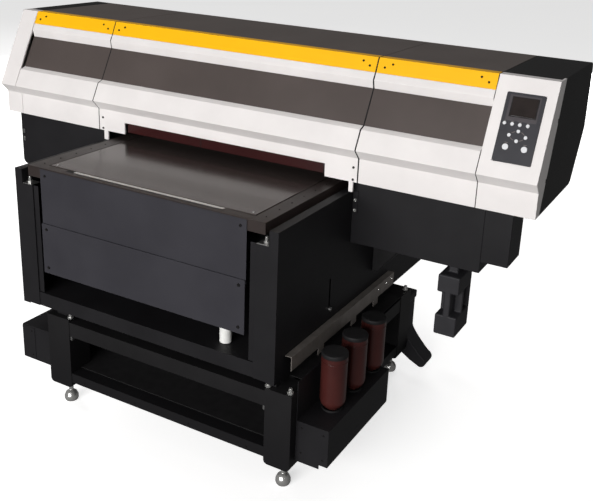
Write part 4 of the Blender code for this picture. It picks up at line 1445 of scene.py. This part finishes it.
    def dress_tray(self) -> None:
        """Adds the bottle seats, the valve blocks, the lower flange and the tray's screws."""
        node = "ink_tray"
        seats = bmesh.new()
        valves = bmesh.new()
        for index in range(1, 4):
            across, along = plan_centre("ink_bottle_" + str(index))
            self.add_seat(seats, (across, along))
            spans = moved((-0.050, -0.022), across), moved((0.040, 0.070), along)
            add_block(valves, (*spans, moved((0.0, 0.030), self.tray_top)))
        bmesh.ops.recalc_face_normals(seats, faces=seats.faces)
        bmesh.ops.solidify(seats, geom=seats.faces, thickness=self.seat_wall)
        self.shop.piece("bottle_seats", seats, Look.SOFT_BLACK, node)
        round_edges(valves, 0.002)
        self.shop.piece("ink_valves", valves, Look.SOFT_BLACK, node)
        low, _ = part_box(node)
        flange = (moved((0.001, 0.085), low.x), moved((0.001, 0.0035), low.y), (0.1080, 0.1238))
        self.shop.blocks("tray_lower_flange", [flange], Look.CHARCOAL_POWDER, node, 0.0006)
        self.shop.front_screws("tray_screws", node, (0.020, 0.018), (0.145, 0.235), 0.0036)

    def dress_box(self) -> None:
        """Adds the electrical box's folded lid edge, screws and louvres."""
        node = "electrical_box"
        low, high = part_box(node)
        face = low.y - self.lid_lift
        lid = ((low.x, low.x + 0.060), (face, low.y), (low.z + 0.004, high.z - 0.004))
        self.shop.blocks("electrical_box_lid", [lid], Look.CHARCOAL_POWDER, node, 0.0007)
        first = low.z + self.louvre_start
        across, depth = (low.x - 0.0016, low.x), moved((0.10, 0.24), low.y)
        louvres = [
            (across, depth, moved((0.0, 0.005), first + index * self.louvre_pitch))
            for index in range(self.louvre_count)
        ]
        self.shop.blocks("electrical_box_louvres", louvres, Look.SOFT_BLACK, node)
        places = [(low.x + 0.045, face, height) for height in (low.z + 0.02, high.z - 0.02)]
        self.shop.screws("electrical_box_screws", places, FRONT, 0.0036, Look.BLACK_OXIDE, node)


@dataclass(frozen=True)
class SoftLight:
    """A rectangular soft light that faces the printer."""

    name: str
    place: Point
    size: Span
    power: float
    mirrored: bool = True  # whether shiny surfaces show it

    def build(self, aim: Vector) -> None:
        """Builds the light.

        Args:
            aim: Point it faces.
        """
        light = bpy.data.lights.new(self.name, "AREA")
        light.shape = "RECTANGLE"
        light.size, light.size_y = self.size
        light.energy = self.power
        item = bpy.data.objects.new(self.name, light)
        bpy.context.scene.collection.objects.link(item)
        item.location = self.place
        item.visible_glossy = self.mirrored
        item.rotation_euler = (aim - Vector(self.place)).to_track_quat("-Z", "Y").to_euler()


@dataclass
class Studio:
    """Plain pale floor, soft lights and the camera."""

    camera_place: Point = (1.6498, -2.6172, 1.7895)
    camera_turn: float = 0.4806
    camera_pitch: float = 0.3173
    camera_roll: float = 0.0486
    lens_mm: float = 51.7
    sensor_mm: float = 36.0
    shift: Span = (-0.0509, -0.1141)
    air: float = 0.13
    floor_half: float = 40.0
    aim: Point = (0.0, 0.0, 0.8)
    lights: tuple[SoftLight, ...] = (
        SoftLight("key", (0.2, -9.0, 2.6), (7.5, 3.6), 880.0),
        SoftLight("top", (-0.8, 0.8, 5.2), (4.0, 2.6), 28.0),
        SoftLight("back", (-1.6, 7.5, 1.2), (5.0, 2.4), 480.0, mirrored=False),
        SoftLight("left", (-6.5, 1.5, 1.4), (3.0, 2.0), 260.0, mirrored=False),
    )

    def build(self) -> None:
        """Builds the whole studio."""
        self.build_floor()
        self.build_world()
        for light in self.lights:
            light.build(Vector(self.aim))
        self.build_camera()

    def build_floor(self) -> None:
        """Builds the pale floor."""
        bm = bmesh.new()
        bmesh.ops.create_grid(bm, x_segments=1, y_segments=1, size=self.floor_half)
        mesh = bpy.data.meshes.new("studio_floor")
        bm.to_mesh(mesh)
        bm.free()
        paper = LitPaper("pale_studio_paper", "#F4F3F2", "#F1F0EF", (0.85, 0.95), 900.0, 20.0, 0.0)
        mesh.materials.append(paper.build())
        floor = bpy.data.objects.new("studio_floor", mesh)
        bpy.context.scene.collection.objects.link(floor)
        floor.visible_diffuse = False
        floor.visible_glossy = False

    def build_world(self) -> None:
        """Lights the room evenly with soft white."""
        world = bpy.data.worlds.new("studio_air")
        world.use_nodes = True
        background = world.node_tree.nodes["Background"]
        background.inputs["Color"].default_value = WHITE
        background.inputs["Strength"].default_value = self.air
        bpy.context.scene.world = world
        bpy.context.scene.view_settings.view_transform = "Standard"

    def build_camera(self) -> None:
        """Adds the camera."""
        camera = bpy.data.cameras.new("camera")
        camera.lens = self.lens_mm
        camera.sensor_width = self.sensor_mm
        camera.shift_x, camera.shift_y = self.shift
        item = bpy.data.objects.new("camera", camera)
        bpy.context.scene.collection.objects.link(item)
        item.location = self.camera_place
        aim = Euler((math.pi / 2 - self.camera_pitch, 0.0, self.camera_turn)).to_matrix()
        item.rotation_euler = (aim @ Matrix.Rotation(self.camera_roll, 3, "Z")).to_euler()
        bpy.context.scene.camera = item


def main() -> None:
    """Loads the frame, builds every sub-assembly in order and sets up the studio."""
    logging.basicConfig(level=logging.INFO, format="%(message)s")
    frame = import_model()
    shop = Workshop(frame)
    for assembly in (
        LiftingCovers(shop),
        GantryBody(shop),
        ControlPanel(shop),
        TableHousing(shop),
        LiftAndTable(shop),
        BaseAndInk(shop),
        Studio(),
    ):
        assembly.build()
    LOG.info("%d pieces", shop.count)


if __name__ == "__main__":
    main()
